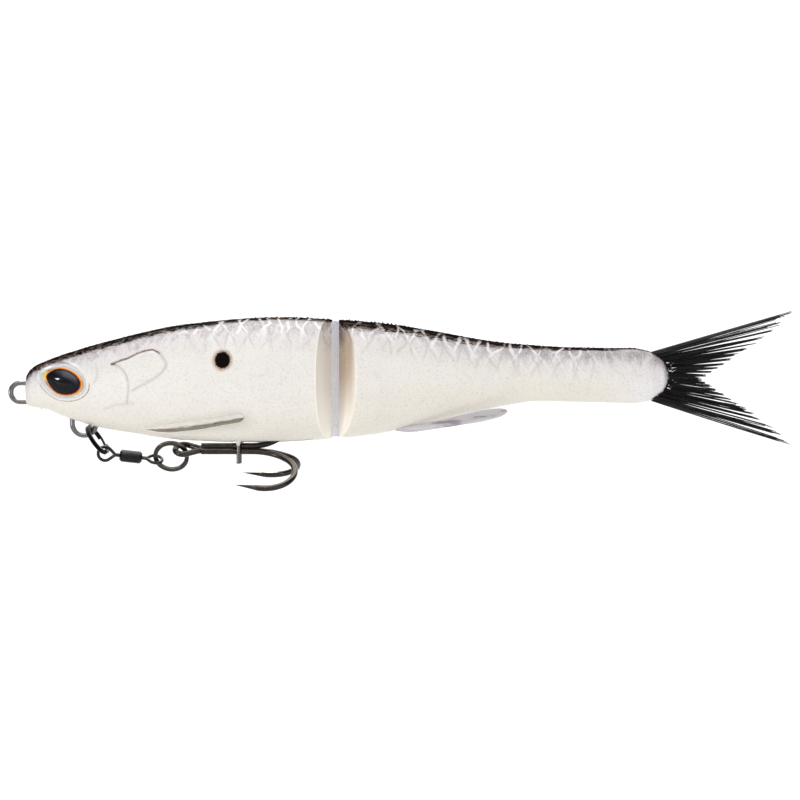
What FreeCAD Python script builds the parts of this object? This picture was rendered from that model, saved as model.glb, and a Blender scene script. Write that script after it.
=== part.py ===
"""Jointed soft swimbait: two soft bodies on a cloth hinge, a wire harness, and a treble hook on a swivel rig.

Units are millimetres.  The origin is the centre of the nose line tie, +X runs from nose to tail, +Z is up
and -Y is the left side of the fish.  Every driving dimension is a cell of the Dimensions sheet.
"""

import FreeCAD
import Part
import Sketcher
import math
import os

from FreeCAD import Placement, Rotation, Vector

DOC = FreeCAD.newDocument("swimbait")
SHEET = DOC.addObject("Spreadsheet::Sheet", "Dimensions")

# Body stations from nose to tail: distance from the line tie, height of back and belly, half width.
FRONT_STATIONS = [
    (1.5, 4.3, -3.1, 2.6),
    (3.2, 5.9, -3.4, 3.5),
    (6.0, 7.3, -3.9, 4.5),
    (11.3, 9.2, -6.0, 6.0),
    (18.3, 11.3, -8.1, 7.7),
    (26.0, 13.3, -9.4, 9.1),
    (35.0, 15.3, -10.8, 10.3),
    (44.5, 16.5, -11.4, 11.0),
    (54.0, 17.3, -11.7, 11.2),
    (64.0, 17.4, -11.5, 11.0),
    (73.5, 16.9, -10.6, 10.4),
]
REAR_STATIONS = [
    (73.5, 16.9, -10.6, 10.4),
    (82.0, 16.3, -9.8, 9.5),
    (91.0, 15.2, -8.0, 8.1),
    (100.0, 13.6, -5.9, 6.7),
    (110.0, 11.9, -3.7, 5.3),
    (119.0, 11.0, -2.1, 4.3),
    (128.0, 10.5, -2.2, 3.6),
    (138.0, 10.3, -2.4, 3.1),
    (144.5, 10.0, -2.3, 2.8),
    (148.3, 8.6, -1.1, 2.3),
    (150.3, 6.4, 1.0, 1.7),
    (151.0, 4.6, 2.8, 0.8),
]

DIMENSIONS = {
    # cloth hinge between the two bodies
    "hinge_x": 73.5,
    "hinge_leaf_gap": 0.3,
    "cloth_thickness": 1.2,
    "cloth_top": 16.4,
    "cloth_bottom": -10.1,
    "cloth_step_z": 4.5,
    "cloth_front_upper": 63.0,
    "cloth_front_lower": 69.6,
    "cloth_rear_end": 85.5,
    "bevel_inner": 0.75,
    "bevel_outer": 4.3,
    "bevel_outer_rear": 5.0,
    "bevel_half_width": 10.4,
    "bevel_reach": 14.0,
    # through-wire harness
    "harness_wire": 1.2,
    "loop_radius": 2.2,
    "chin_radius": 2.78,
    "chin_x": 14.9,
    "chin_z": -7.25,
    "harness_back_z": 8.5,
    "harness_end_x": 60.5,
    "harness_keel_z": -3.4,
    "harness_keel_end": 45.5,
    # ballast cast round the lower leg of the harness
    "ballast_start": 21.0,
    "ballast_length": 21.0,
    "ballast_half_width": 3.6,
    "ballast_top": -2.2,
    "ballast_height": 4.6,
    "ballast_round": 1.6,
    # slot in the belly for the upper hook point
    "slot_half_width": 2.05,
    "slot_y": -0.75,
    "slot_front": 49.5,
    "slot_rear": 67.9,
    "slot_top": 3.6,
    "slot_front_run": 5.5,
    "slot_front_drop": 1.9,
    "slot_crown_run": 5.5,
    "slot_crown_drop": 1.0,
    "slot_bend_run": 1.8,
    "slot_bend_drop": 5.2,
    "slot_side_drop": 9.5,
    "slot_flare": 1.0,
    # treble hook
    "hook_wire": 1.4,
    "hook_axis_z": -13.3,
    "hook_wire_offset": 0.809,
    "hook_roll": 5.0,
    "hook_eye_x": 38.05,
    "hook_eye_radius": 1.92,
    "hook_shank_start": 42.2,
    "hook_bend_start": 54.1,
    "hook_bend_first": 11.9,
    "hook_bend_second": 6.2,
    "hook_bend_third": 7.0,
    "hook_bend_first_angle": 45.0,
    "hook_bend_second_angle": 150.0,
    "hook_bend_third_angle": 192.0,
    "hook_point_angle": 12.0,
    "hook_point_length": 5.35,
    "hook_stored_point_length": 4.1,
    "hook_point_tip": 0.06,
    "hook_single_gap": 0.03,
    "barb_length": 1.1,
    "barb_radius": 0.32,
    # wire clip that grips the hook shank under the belly
    "clip_wire": 0.95,
    "clip_x": 51.0,
    "clip_half_gap": 2.1,
    "clip_bottom": -16.6,
    "clip_top": -6.9,
    "clip_back": 46.9,
    "clip_bend": 1.2,
    "nub_radius": 0.78,
    "nub_bottom": -12.6,
    # split rings
    "chin_ring_axial": 0.46,
    "chin_ring_pitch": 0.5,
    "hook_ring_axial": 0.4,
    "hook_ring_pitch": 0.43,
    "ring_turns": 1.9,
    "chin_ring_radius": 3.58,
    "chin_ring_wire": 0.8,
    "chin_ring_top_x": 15.58,
    "chin_ring_top_z": -8.33,
    "chin_ring_bottom_x": 19.5,
    "chin_ring_bottom_z": -14.33,
    "chin_ring_turn": 9.0,
    "hook_ring_radius": 3.67,
    "hook_ring_wire": 1.0,
    "hook_ring_x": 35.1,
    "hook_ring_y": 0.9,
    "hook_ring_z": -14.7,
    "hook_ring_tilt": 34.0,
    # barrel swivel
    "swivel_front_x": 19.75,
    "swivel_front_z": -14.3,
    "swivel_rear_x": 31.3,
    "swivel_rear_y": 1.47,
    "swivel_rear_z": -15.65,
    "barrel_length": 5.2,
    "barrel_radius": 1.45,
    "barrel_chamfer": 0.45,
    "barrel_end_wall": 0.6,
    "barrel_cavity_radius": 1.02,
    "barrel_hole_radius": 0.52,
    "swivel_wire": 0.76,
    "swivel_loop_radius": 1.6,
    "swivel_neck_radius": 0.46,
    "swivel_neck_end": 3.9,
    "swivel_head_radius": 0.8,
    "swivel_head_start": 1.1,
    "swivel_head_length": 0.8,
    "rear_loop_roll": 31.0,
    # eyes
    "eye_x": 10.6,
    "eye_z": 2.35,
    "eye_y": 5.1,
    "eye_yaw": 15.0,
    "eye_pitch": 12.0,
    "eye_front": 6.2,
    "eye_rear": 5.4,
    "eye_half_height": 3.55,
    "foil_thickness": 0.3,
    "lens_thickness": 0.9,
    "lens_top_scale": 0.72,
    "socket_depth": 0.35,
    # fins
    "fin_thickness": 0.8,
    "pectoral_x": 30.2,
    "pectoral_z": -8.9,
    "pectoral_root_y": 6.2,
    "pectoral_length": 22.6,
    "pectoral_span": 6.6,
    "pectoral_rise": 7.6,
    "pectoral_droop": 22.0,
    "pelvic_x": 87.4,
    "pelvic_z": -8.1,
    "pelvic_root_y": 2.2,
    "pelvic_length": 26.6,
    "pelvic_span": 4.3,
    "pelvic_rise": 11.0,
    "pelvic_droop": 38.0,
    # brush tail
    "tail_root_x": 147.8,
    "tail_root_half_height": 4.6,
    "tail_root_z": 3.9,
    "tail_tip_x": 179.8,
    "tail_top_z": 19.0,
    "tail_bottom_z": -12.6,
    "tail_notch_x": 157.2,
    "tail_thickness": 1.8,
    "plug_length": 4.6,
    "plug_thickness": 2.8,
    "plug_height": 8.2,
}


def fill_sheet():
    """Writes every driving dimension to the sheet, with its name as the cell's alias."""
    cells = dict(DIMENSIONS)
    for prefix, stations in (("front", FRONT_STATIONS), ("rear", REAR_STATIONS)):
        for number, (along, top, bottom, half_width) in enumerate(stations, 1):
            cells[f"{prefix}_station{number}_x"] = along
            cells[f"{prefix}_station{number}_top"] = top
            cells[f"{prefix}_station{number}_bottom"] = bottom
            cells[f"{prefix}_station{number}_half_width"] = half_width
    for row, (alias, value) in enumerate(cells.items(), 1):
        SHEET.set(f"A{row}", alias)
        SHEET.set(f"B{row}", str(value))
        SHEET.setAlias(f"B{row}", alias)
    DOC.recompute()


def size(alias):
    """The value of a sheet cell."""
    return float(SHEET.get(alias))


def bind(thing, **expressions):
    """Binds properties to expressions on the sheet; a double underscore stands for a dot."""
    for name, expression in expressions.items():
        thing.setExpression(name.replace("__", "."), expression)
    return thing


def add(kind, name, **values):
    """A document object with its label and plain property values."""
    thing = DOC.addObject(kind, name)
    thing.Label = name
    for key, value in values.items():
        setattr(thing, key, value)
    return thing


def cut(name, base, tools):
    """The base with the tools taken away."""
    tool = tools[0] if len(tools) == 1 else add("Part::MultiFuse", name + "_tools", Shapes=tools)
    return add("Part::Cut", name, Base=base, Tool=tool)


def fuse(name, shapes):
    return add("Part::MultiFuse", name, Shapes=shapes)


# ---------------------------------------------------------------- sketches and bodies


def origin_plane(body, role):
    return next(f for f in body.Origin.OriginFeatures if f.Role == role)


def outline(body, name, role, corners):
    """A closed sketch on one of the body's own planes; each corner is a pair of sheet expressions."""
    sketch = body.newObject("Sketcher::SketchObject", name)
    sketch.AttachmentSupport = [(origin_plane(body, role), "")]
    sketch.MapMode = "FlatFace"
    values = [tuple(evaluate(text) for text in corner) for corner in corners]
    count = len(corners)
    for index, (start_x, start_y) in enumerate(values):
        end_x, end_y = values[(index + 1) % count]
        line = Part.LineSegment(Vector(start_x, start_y, 0), Vector(end_x, end_y, 0))
        sketch.addGeometry(line, False)
    for index in range(count):
        sketch.addConstraint(
            Sketcher.Constraint("Coincident", index, 2, (index + 1) % count, 1)
        )
    for index, (text_x, text_y) in enumerate(corners):
        for kind, text, value in (
            ("DistanceX", text_x, values[index][0]),
            ("DistanceY", text_y, values[index][1]),
        ):
            number = sketch.addConstraint(
                Sketcher.Constraint(kind, -1, 1, index, 1, value)
            )
            label = f"{kind.lower()}{index}"
            sketch.renameConstraint(number, label)
            sketch.setExpression(f"Constraints.{label}", text)
    return sketch


def evaluate(text):
    """The number that a sheet expression stands for."""
    return float(SHEET.evalExpression(text.replace("Dimensions.", "")))


def padded_body(name, role, corners, length, midplane=False, reverse=False):
    """A PartDesign body: one outline padded by a sheet expression."""
    body = add("PartDesign::Body", name)
    sketch = outline(body, name + "_outline", role, corners)
    pad = body.newObject("PartDesign::Pad", name + "_pad")
    pad.Profile = sketch
    pad.Midplane = midplane
    pad.Reversed = reverse
    pad.setExpression("Length", length)
    return body


def round_edges(body, name, radius, keep):
    """Fillets the edges of the body's tip that keep(edge) chooses."""
    DOC.recompute()
    tip = body.Tip
    names = [f"Edge{i}" for i, e in enumerate(tip.Shape.Edges, 1) if keep(e)]
    fillet = body.newObject("PartDesign::Fillet", name)
    fillet.Base = (tip, names)
    fillet.setExpression("Radius", radius)
    return fillet


# ---------------------------------------------------------------- wire work


def rounded_path(name, points, radii):
    """A wire of straight runs joined by tangent arcs; radii holds one radius for each inner point."""
    edges = []
    start = points[0]
    for index, radius in enumerate(radii, 1):
        corner = points[index]
        incoming = (corner - points[index - 1]).normalize()
        outgoing = (points[index + 1] - corner).normalize()
        half_turn = incoming.getAngle(outgoing) / 2
        reach = radius * math.tan(half_turn)
        first = corner - incoming * reach
        last = corner + outgoing * reach
        inward = (outgoing - incoming).normalize()
        centre = corner + inward * (radius / math.cos(half_turn))
        middle = centre - inward * radius
        if (first - start).Length > 1e-6:
            edges.append(Part.LineSegment(start, first).toShape())
        edges.append(Part.Arc(first, middle, last).toShape())
        start = last
    edges.append(Part.LineSegment(start, points[-1]).toShape())
    path = add("Part::Feature", name)
    path.Shape = Part.Wire(edges)
    return path


def swept_wire(name, path, radius):
    """A round wire of the sheet's radius along a path feature, as a Part::Sweep."""
    first = path.Shape.OrderedEdges[0]
    start = first.valueAt(first.FirstParameter)
    along = first.tangentAt(first.FirstParameter)
    if (start - path.Shape.OrderedVertexes[0].Point).Length > 1e-6:
        start = first.valueAt(first.LastParameter)
        along = first.tangentAt(first.LastParameter)
    section = add("Part::Circle", name + "_section")
    section.Placement = Placement(start, Rotation(Vector(0, 0, 1), along))
    section.setExpression("Radius", radius)
    sweep = add("Part::Sweep", name, Sections=[section], Solid=True, Frenet=False)
    sweep.Spine = (path, [f"Edge{i}" for i in range(1, len(path.Shape.Edges) + 1)])
    return sweep


def rod(name, start, end, radius):
    """A straight round rod between two points."""
    thing = add("Part::Cylinder", name, Height=(end - start).Length)
    thing.setExpression("Radius", radius)
    thing.Placement = Placement(start, Rotation(Vector(0, 0, 1), end - start))
    return thing


def place(thing, base, rotation):
    thing.Placement = Placement(base, rotation)
    return thing


# ---------------------------------------------------------------- soft bodies


def body_loft(prefix, count):
    """The outer form of one body half: a smooth loft through upright ellipses."""
    sections = []
    for number in range(1, count + 1):
        cell = f"Dimensions.{prefix}_station{number}"
        ring = add("Part::Ellipse", f"{prefix}_ring{number}")
        ring.Placement = Placement(Vector(), Rotation(Vector(0, 1, 0), -90))
        bind(
            ring,
            MajorRadius=f"({cell}_top - {cell}_bottom) / 2",
            MinorRadius=f"{cell}_half_width",
            Placement__Base__x=f"{cell}_x",
            Placement__Base__z=f"({cell}_top + {cell}_bottom) / 2",
        )
        sections.append(ring)
    return add("Part::Loft", f"{prefix}_loft", Sections=sections, Solid=True, Ruled=False)


def bevel(name, side):
    """The wedge that opens the joint: side is -1 for the front body and +1 for the rear one."""
    inner = f"Dimensions.hinge_x + {side} * Dimensions.bevel_inner"
    deep = "bevel_outer" if side < 0 else "bevel_outer_rear"
    slope = f"(Dimensions.{deep} - Dimensions.bevel_inner) / Dimensions.bevel_half_width"
    outer = (
        f"Dimensions.hinge_x + {side} * (Dimensions.bevel_inner + {slope} * Dimensions.bevel_reach)"
    )
    past = f"Dimensions.hinge_x - {side} * Dimensions.bevel_inner"
    reach = "Dimensions.bevel_reach"
    corners = [(past, f"-{reach}"), (outer, f"-{reach}"), (inner, "0"), (outer, reach), (past, reach)]
    return padded_body(name, "XY_Plane", corners, "4 * Dimensions.bevel_reach", midplane=True)


def hook_slot():
    """The slot in the belly that takes the upper point of the treble hook."""
    low = "Dimensions.hook_axis_z"
    front, rear, top = "Dimensions.slot_front", "Dimensions.slot_rear", "Dimensions.slot_top"
    shape = "Dimensions.slot"
    corners = [
        (front, low),
        (front, f"{top} - {shape}_front_drop"),
        (f"{front} + {shape}_front_run", top),
        (f"{rear} - {shape}_crown_run", f"{top} - {shape}_crown_drop"),
        (f"{rear} - {shape}_bend_run", f"{top} - {shape}_bend_drop"),
        (rear, f"{top} - {shape}_side_drop"),
        (f"{rear} + {shape}_flare", low),
    ]
    slot = padded_body("slot_tool", "XZ_Plane", corners, "2 * Dimensions.slot_half_width", midplane=True)
    return bind(slot, Placement__Base__y="Dimensions.slot_y")


def cloth_leaf(name, corners):
    """One half of the cloth hinge, up to the joint's axis."""
    return padded_body(name, "XZ_Plane", corners, "Dimensions.cloth_thickness", midplane=True)


def front_cloth():
    gap = "Dimensions.hinge_x - Dimensions.hinge_leaf_gap"
    step, top, low = "Dimensions.cloth_step_z", "Dimensions.cloth_top", "Dimensions.cloth_bottom"
    upper, lower = "Dimensions.cloth_front_upper", "Dimensions.cloth_front_lower"
    corners = [(lower, low), (gap, low), (gap, top), (upper, top), (upper, step), (lower, step)]
    return cloth_leaf("hinge_cloth_front", corners)


def rear_cloth():
    gap = "Dimensions.hinge_x + Dimensions.hinge_leaf_gap"
    top, low, end = "Dimensions.cloth_top", "Dimensions.cloth_bottom", "Dimensions.cloth_rear_end"
    corners = [(gap, low), (end, f"{low} + 3"), (end, f"{top} - 3"), (gap, top)]
    return cloth_leaf("hinge_cloth_rear", corners)


# ---------------------------------------------------------------- harness, ballast and clip


def harness():
    """One bent wire: back anchor, nose loop, chin loop, then the leg that carries the ballast."""
    nose, back, end = size("loop_radius"), size("harness_back_z"), size("harness_end_x")
    chin, keel = size("chin_radius"), size("harness_keel_z")
    chin_x, chin_z = size("chin_x"), size("chin_z")
    bend = 1.6

    def at(x, z):
        return Vector(x, 0, z)

    points = [
        at(end, back + 2.6),
        at(end, back),
        at(24, back),
        at(9, nose),
        at(-nose, nose),
        at(-nose, -nose),
        at(chin_x - chin, -nose),
        at(chin_x - chin, chin_z - chin),
        at(chin_x + chin, chin_z - chin),
        at(chin_x + chin, keel),
        at(size("harness_keel_end"), keel),
    ]
    nose_bend, chin_bend = nose - 0.001, chin - 0.001
    radii = [bend, 10, 10, nose_bend, nose_bend, bend, chin_bend, chin_bend, bend]
    return swept_wire("wire_harness", rounded_path("harness_path", points, radii), "Dimensions.harness_wire / 2")


def ballast(wire):
    start, low = "Dimensions.ballast_start", "Dimensions.ballast_top - Dimensions.ballast_height"
    end = "Dimensions.ballast_start + Dimensions.ballast_length"
    top = "Dimensions.ballast_top"
    corners = [(start, f"{low} + 1.2"), (f"{end} - 2", low), (end, f"{low} + 0.4"), (end, top), (start, top)]
    block = padded_body(
        "ballast_block", "XZ_Plane", corners, "2 * Dimensions.ballast_half_width", midplane=True
    )
    round_edges(block, "ballast_rounds", "Dimensions.ballast_round", lambda e: abs(e.tangentAt(e.FirstParameter).y) < 0.1)
    return cut("ballast_weight", block, [wire])


def hook_clip():
    """A bent wire whose two prongs leave the belly and grip the hook shank between them."""
    half, low, top = size("clip_half_gap"), size("clip_bottom"), size("clip_top")
    along, back, bend = size("clip_x"), size("clip_back"), size("clip_bend")
    points = [
        Vector(along, -half, low),
        Vector(along, -half, top),
        Vector(back - half, -half, top),
        Vector(back - half, half, top),
        Vector(along, half, top),
        Vector(along, half, low),
    ]
    tight = half - 0.001
    return swept_wire(
        "hook_clip", rounded_path("clip_path", points, [bend, tight, tight, bend]), "Dimensions.clip_wire / 2"
    )


def clip_nubs():
    """The two soft bosses of the belly round the clip's prongs."""
    nubs = []
    for name, side in (("nub_left", -1), ("nub_right", 1)):
        nub = add("Part::Cylinder", name)
        bind(
            nub,
            Radius="Dimensions.nub_radius",
            Height="Dimensions.clip_top - Dimensions.nub_bottom",
            Placement__Base__x="Dimensions.clip_x",
            Placement__Base__y=f"{side} * Dimensions.clip_half_gap",
            Placement__Base__z="Dimensions.nub_bottom",
        )
        nubs.append(nub)
    return nubs


# ---------------------------------------------------------------- eyes


def eye_corners(scale):
    """A drop with its point towards the nose; scale shrinks it about its own middle."""
    front, rear = f"Dimensions.eye_front * {scale}", f"Dimensions.eye_rear * {scale}"
    half = f"Dimensions.eye_half_height * {scale}"
    return [
        (f"-{front}", f"0.18 * {half}"),
        (f"-0.62 * {front}", f"-0.36 * {half}"),
        (f"-0.22 * {front}", f"-0.80 * {half}"),
        (f"0.22 * {rear}", f"-{half}"),
        (f"0.62 * {rear}", f"-0.90 * {half}"),
        (f"0.91 * {rear}", f"-0.45 * {half}"),
        (rear, "0"),
        (f"0.91 * {rear}", f"0.45 * {half}"),
        (f"0.60 * {rear}", f"0.86 * {half}"),
        (f"0.10 * {rear}", half),
        (f"-0.35 * {front}", f"0.80 * {half}"),
        (f"-0.72 * {front}", f"0.45 * {half}"),
    ]


def eye_placement(side):
    """Where an eye sits: its local +Z points out of the head; side is -1 for the left eye."""
    yaw, pitch = size("eye_yaw"), size("eye_pitch")
    base = Vector(size("eye_x"), side * size("eye_y"), size("eye_z"))
    tilt = Rotation(Vector(0, 1, 0), pitch)
    turn = Rotation(Vector(0, 0, 1), side * yaw)
    face = Rotation(Vector(1, 0, 0), 90) if side < 0 else Rotation(Vector(1, 0, 0), -90)
    return Placement(base, turn.multiply(tilt).multiply(face))


def eye_parts(suffix, side):
    """The printed foil, the clear lens over it and the tool that cuts the socket."""
    where = eye_placement(side)
    flip = side > 0
    corners = [(x, f"-({y})" if flip else y) for x, y in eye_corners("1")]
    small = [(x, f"-({y})" if flip else y) for x, y in eye_corners("Dimensions.lens_top_scale")]
    foil = padded_body(f"eye_foil_{suffix}", "XY_Plane", corners, "Dimensions.foil_thickness", reverse=True)
    lens = add("PartDesign::Body", f"eye_lens_{suffix}")
    base = outline(lens, f"lens_base_{suffix}", "XY_Plane", corners)
    crown = outline(lens, f"lens_crown_{suffix}", "XY_Plane", small)
    crown.setExpression("AttachmentOffset.Base.z", "Dimensions.lens_thickness")
    loft = lens.newObject("PartDesign::AdditiveLoft", f"lens_loft_{suffix}")
    loft.Profile = base
    loft.Sections = [crown]
    loft.Ruled = True
    socket = padded_body(f"socket_{suffix}", "XY_Plane", corners, "4 * Dimensions.lens_thickness")
    recess = padded_body(f"recess_{suffix}", "XY_Plane", corners, "Dimensions.foil_thickness", reverse=True)
    for thing in (foil, lens, socket, recess):
        thing.Placement = where
    return [socket, recess]


# ---------------------------------------------------------------- fins and tail


def fin(name, kind, side, body):
    """A thin blade that droops outwards from the body's side and rises towards the tail."""
    length, span = f"Dimensions.{kind}_length", f"Dimensions.{kind}_span"
    spread = [
        (0, 0),
        (0.25, 0.42),
        (0.55, 0.76),
        (0.85, 1),
        (1, 0.94),
        (0.99, 0.35),
        (0.96, -0.25),
        (0.15, -0.25),
    ]
    corners = [(f"{along} * {length}", f"{side * out} * {span}") for along, out in spread]
    blade = padded_body(f"{name}_blade", "XY_Plane", corners, "Dimensions.fin_thickness", midplane=True)
    rise = Rotation(Vector(0, 1, 0), -size(f"{kind}_rise"))
    droop = Rotation(Vector(1, 0, 0), -side * size(f"{kind}_droop"))
    base = Vector(size(f"{kind}_x"), side * size(f"{kind}_root_y"), size(f"{kind}_z"))
    blade.Placement = Placement(base, rise.multiply(droop))
    return cut(name, blade, [body])


def brush_tail():
    """The forked brush as one flat fan; its root is held in the bond plug."""
    root, z = "Dimensions.tail_root_x", "Dimensions.tail_root_z"
    half = "Dimensions.tail_root_half_height"
    corners = [
        (f"{root} + 0.3", f"{z} - {half}"),
        ("Dimensions.tail_tip_x", "Dimensions.tail_bottom_z"),
        ("Dimensions.tail_tip_x - 1.4", "Dimensions.tail_bottom_z + 2.2"),
        ("Dimensions.tail_notch_x", f"{z} - 1.2"),
        ("Dimensions.tail_notch_x", f"{z} + 0.9"),
        ("Dimensions.tail_tip_x - 1.4", "Dimensions.tail_top_z - 2.2"),
        ("Dimensions.tail_tip_x", "Dimensions.tail_top_z"),
        (f"{root} + 0.3", f"{z} + {half}"),
    ]
    return padded_body("tail_bristles", "XZ_Plane", corners, "Dimensions.tail_thickness", midplane=True)


def bond_plug():
    """The resin block inside the tail root that the bristles are bonded into."""
    plug = add("Part::Box", "tail_bond_plug")
    return bind(
        plug,
        Length="Dimensions.plug_length",
        Width="Dimensions.plug_thickness",
        Height="Dimensions.plug_height",
        Placement__Base__x="Dimensions.tail_root_x - Dimensions.plug_length",
        Placement__Base__y="-Dimensions.plug_thickness / 2",
        Placement__Base__z="Dimensions.tail_root_z - Dimensions.plug_height / 2",
    )


# ---------------------------------------------------------------- rings, swivel and hook


def split_ring(name, prefix):
    """A flat double coil: a rectangular wire wound almost two turns about local Z."""
    coil = add("Part::Helix", name + "_coil")
    bind(
        coil,
        Radius=f"Dimensions.{prefix}_radius",
        Pitch=f"Dimensions.{prefix}_pitch",
        Height=f"Dimensions.{prefix}_pitch * Dimensions.ring_turns",
    )
    DOC.recompute()
    half, axial = size(f"{prefix}_wire") / 2, size(f"{prefix}_axial") / 2
    mean, corner = size(f"{prefix}_radius"), 0.12
    flat = [
        (-half, -axial + corner),
        (-half + corner, -axial),
        (half - corner, -axial),
        (half, -axial + corner),
        (half, axial - corner),
        (half - corner, axial),
        (-half + corner, axial),
        (-half, axial - corner),
    ]
    points = [Vector(mean + x, 0, z) for x, z in flat]
    section = add("Part::Feature", name + "_section")
    section.Shape = Part.makePolygon(points + points[:1])
    sweep = add("Part::Sweep", name + "_sweep", Sections=[section], Solid=True, Frenet=True)
    sweep.Spine = (coil, [f"Edge{i}" for i in range(1, len(coil.Shape.Edges) + 1)])
    DOC.recompute()
    ring = add("Part::Feature", name)
    ring.Shape = sweep.Shape.translated(
        Vector(0, 0, -size(f"{prefix}_pitch") * size("ring_turns") / 2)
    )
    return ring


def frame_rotation(x_axis, z_axis):
    """The rotation that turns local X and Z to the given directions."""
    return Rotation(x_axis, z_axis.cross(x_axis), z_axis, "XZY")


def chin_ring():
    ring = split_ring("chin_split_ring", "chin_ring")
    top = Vector(size("chin_ring_top_x"), 0, size("chin_ring_top_z"))
    bottom = Vector(size("chin_ring_bottom_x"), 0, size("chin_ring_bottom_z"))
    down = (bottom - top).normalize()
    normal = Rotation(down, size("chin_ring_turn")).multVec(down.cross(Vector(0, 1, 0)))
    sideways = normal.cross(down).normalize()
    return place(ring, (top + bottom) / 2, frame_rotation(sideways, normal))


def hook_ring():
    ring = split_ring("hook_split_ring", "hook_ring")
    tilt = math.radians(size("hook_ring_tilt"))
    normal = Vector(0, -math.cos(tilt), -math.sin(tilt))
    start = Rotation(normal, 20).multVec(Vector(1, 0, 0))
    base = Vector(size("hook_ring_x"), size("hook_ring_y"), size("hook_ring_z"))
    return place(ring, base, frame_rotation(start, normal))


def swivel_axis():
    """The swivel's front loop centre, its rear loop centre and its direction."""
    front = Vector(size("swivel_front_x"), 0, size("swivel_front_z"))
    rear = Vector(size("swivel_rear_x"), size("swivel_rear_y"), size("swivel_rear_z"))
    return front, rear, (rear - front).normalize()


def swivel_barrel(centre, along):
    body = add("PartDesign::Body", "swivel_barrel")
    half, radius = "Dimensions.barrel_length / 2", "Dimensions.barrel_radius"
    chamfer, wall = "Dimensions.barrel_chamfer", "Dimensions.barrel_end_wall"
    hole, cavity = "Dimensions.barrel_hole_radius", "Dimensions.barrel_cavity_radius"
    corners = [
        (f"-{half}", hole),
        (f"-{half}", f"{radius} - {chamfer}"),
        (f"-{half} + {chamfer}", radius),
        (f"{half} - {chamfer}", radius),
        (half, f"{radius} - {chamfer}"),
        (half, hole),
        (f"{half} - {wall}", hole),
        (f"{half} - {wall}", cavity),
        (f"-{half} + {wall}", cavity),
        (f"-{half} + {wall}", hole),
    ]
    sketch = outline(body, "barrel_profile", "XY_Plane", corners)
    turned = body.newObject("PartDesign::Revolution", "barrel_revolution")
    turned.Profile = sketch
    turned.ReferenceAxis = (sketch, ["H_Axis"])
    turned.Angle = 360
    return place(body, centre, frame_rotation(along, Vector(0, 0, 1)))


def swivel_eye(name, reach, base, rotation):
    """A wire eye with its neck and head; local X runs from the barrel's middle to the loop."""
    loop, wire = size("swivel_loop_radius"), "Dimensions.swivel_wire / 2"
    neck = Vector(size("swivel_neck_end") - 0.3, 0, 0)
    span = reach - neck.x
    lean = math.asin(loop / span)
    touch_x, touch_z = reach - loop * math.sin(lean), loop * math.cos(lean)
    pieces = [
        rod(f"{name}_leg_up", neck, Vector(touch_x, 0, touch_z), wire),
        rod(f"{name}_leg_down", neck, Vector(touch_x, 0, -touch_z), wire),
    ]
    bow = add("Part::Torus", f"{name}_bow")
    bind(bow, Radius1="Dimensions.swivel_loop_radius", Radius2=wire)
    bow.Angle3 = 180 + 2 * math.degrees(lean)
    start = Vector(touch_x - reach, 0, touch_z).normalize()
    bow.Placement = Placement(
        Vector(reach, 0, 0), frame_rotation(start, Vector(0, 1, 0))
    )
    pieces.append(bow)
    shaft = add("Part::Cylinder", f"{name}_neck")
    bind(
        shaft,
        Radius="Dimensions.swivel_neck_radius",
        Height="Dimensions.swivel_neck_end - Dimensions.swivel_head_start",
        Placement__Base__x="Dimensions.swivel_head_start",
    )
    head = add("Part::Cylinder", f"{name}_head")
    bind(
        head,
        Radius="Dimensions.swivel_head_radius",
        Height="Dimensions.swivel_head_length",
        Placement__Base__x="Dimensions.swivel_head_start",
    )
    for turned in (shaft, head):
        turned.Placement = Placement(turned.Placement.Base, Rotation(Vector(0, 1, 0), 90))
    eye = fuse(name, pieces + [shaft, head])
    return place(eye, base, rotation)


def tine(name, azimuth, offset, point_length="hook_point_length"):
    """One hook wire: shank, three tangent arcs, a tapered point and its barb, turned about the shank."""
    start_x, shank_x = size("hook_bend_start"), size("hook_shank_start")
    radial = size("hook_wire_offset") + offset
    bends = [f"hook_bend_{order}" for order in ("first", "second", "third")]
    angles = [size(f"{bend}_angle") for bend in bends]
    arcs = zip([size(bend) for bend in bends], [0.0] + angles[:-1], angles)
    here = Vector(start_x, 0, radial)
    edges = [Part.LineSegment(Vector(shank_x, 0, radial), here).toShape()]
    for radius, begin, end in arcs:
        steps = [math.radians(a) for a in (begin, (begin + end) / 2, end)]
        centre = here - Vector(math.sin(steps[0]), 0, -math.cos(steps[0])) * radius
        marks = [centre + Vector(math.sin(a), 0, -math.cos(a)) * radius for a in steps]
        edges.append(Part.Arc(*marks).toShape())
        here = marks[-1]
    path = add("Part::Feature", f"{name}_path")
    path.Shape = Part.Wire(edges)
    wire = swept_wire(f"{name}_wire", path, "Dimensions.hook_wire / 2")
    lean = math.radians(size("hook_point_angle"))
    forward = Vector(-math.cos(lean), 0, -math.sin(lean))
    point = add("Part::Cone", f"{name}_point")
    bind(
        point,
        Radius1="Dimensions.hook_wire / 2",
        Radius2="Dimensions.hook_point_tip",
        Height=f"Dimensions.{point_length}",
    )
    point.Placement = Placement(here, Rotation(Vector(0, 0, 1), forward))
    barb = add("Part::Cone", f"{name}_barb", Radius1=0.02)
    bind(barb, Radius2="Dimensions.barb_radius", Height="Dimensions.barb_length")
    inward = Vector(math.sin(lean), 0, -math.cos(lean))
    tip = here + forward * 1.7 + inward * 0.15
    rear = here + forward * 0.4 + inward * 0.62
    barb.Placement = Placement(tip, Rotation(Vector(0, 0, 1), rear - tip))
    whole = fuse(name, [wire, point, barb])
    turn = Rotation(Vector(1, 0, 0), azimuth + size("hook_roll"))
    return place(whole, Vector(0, 0, size("hook_axis_z")), turn)


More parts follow.
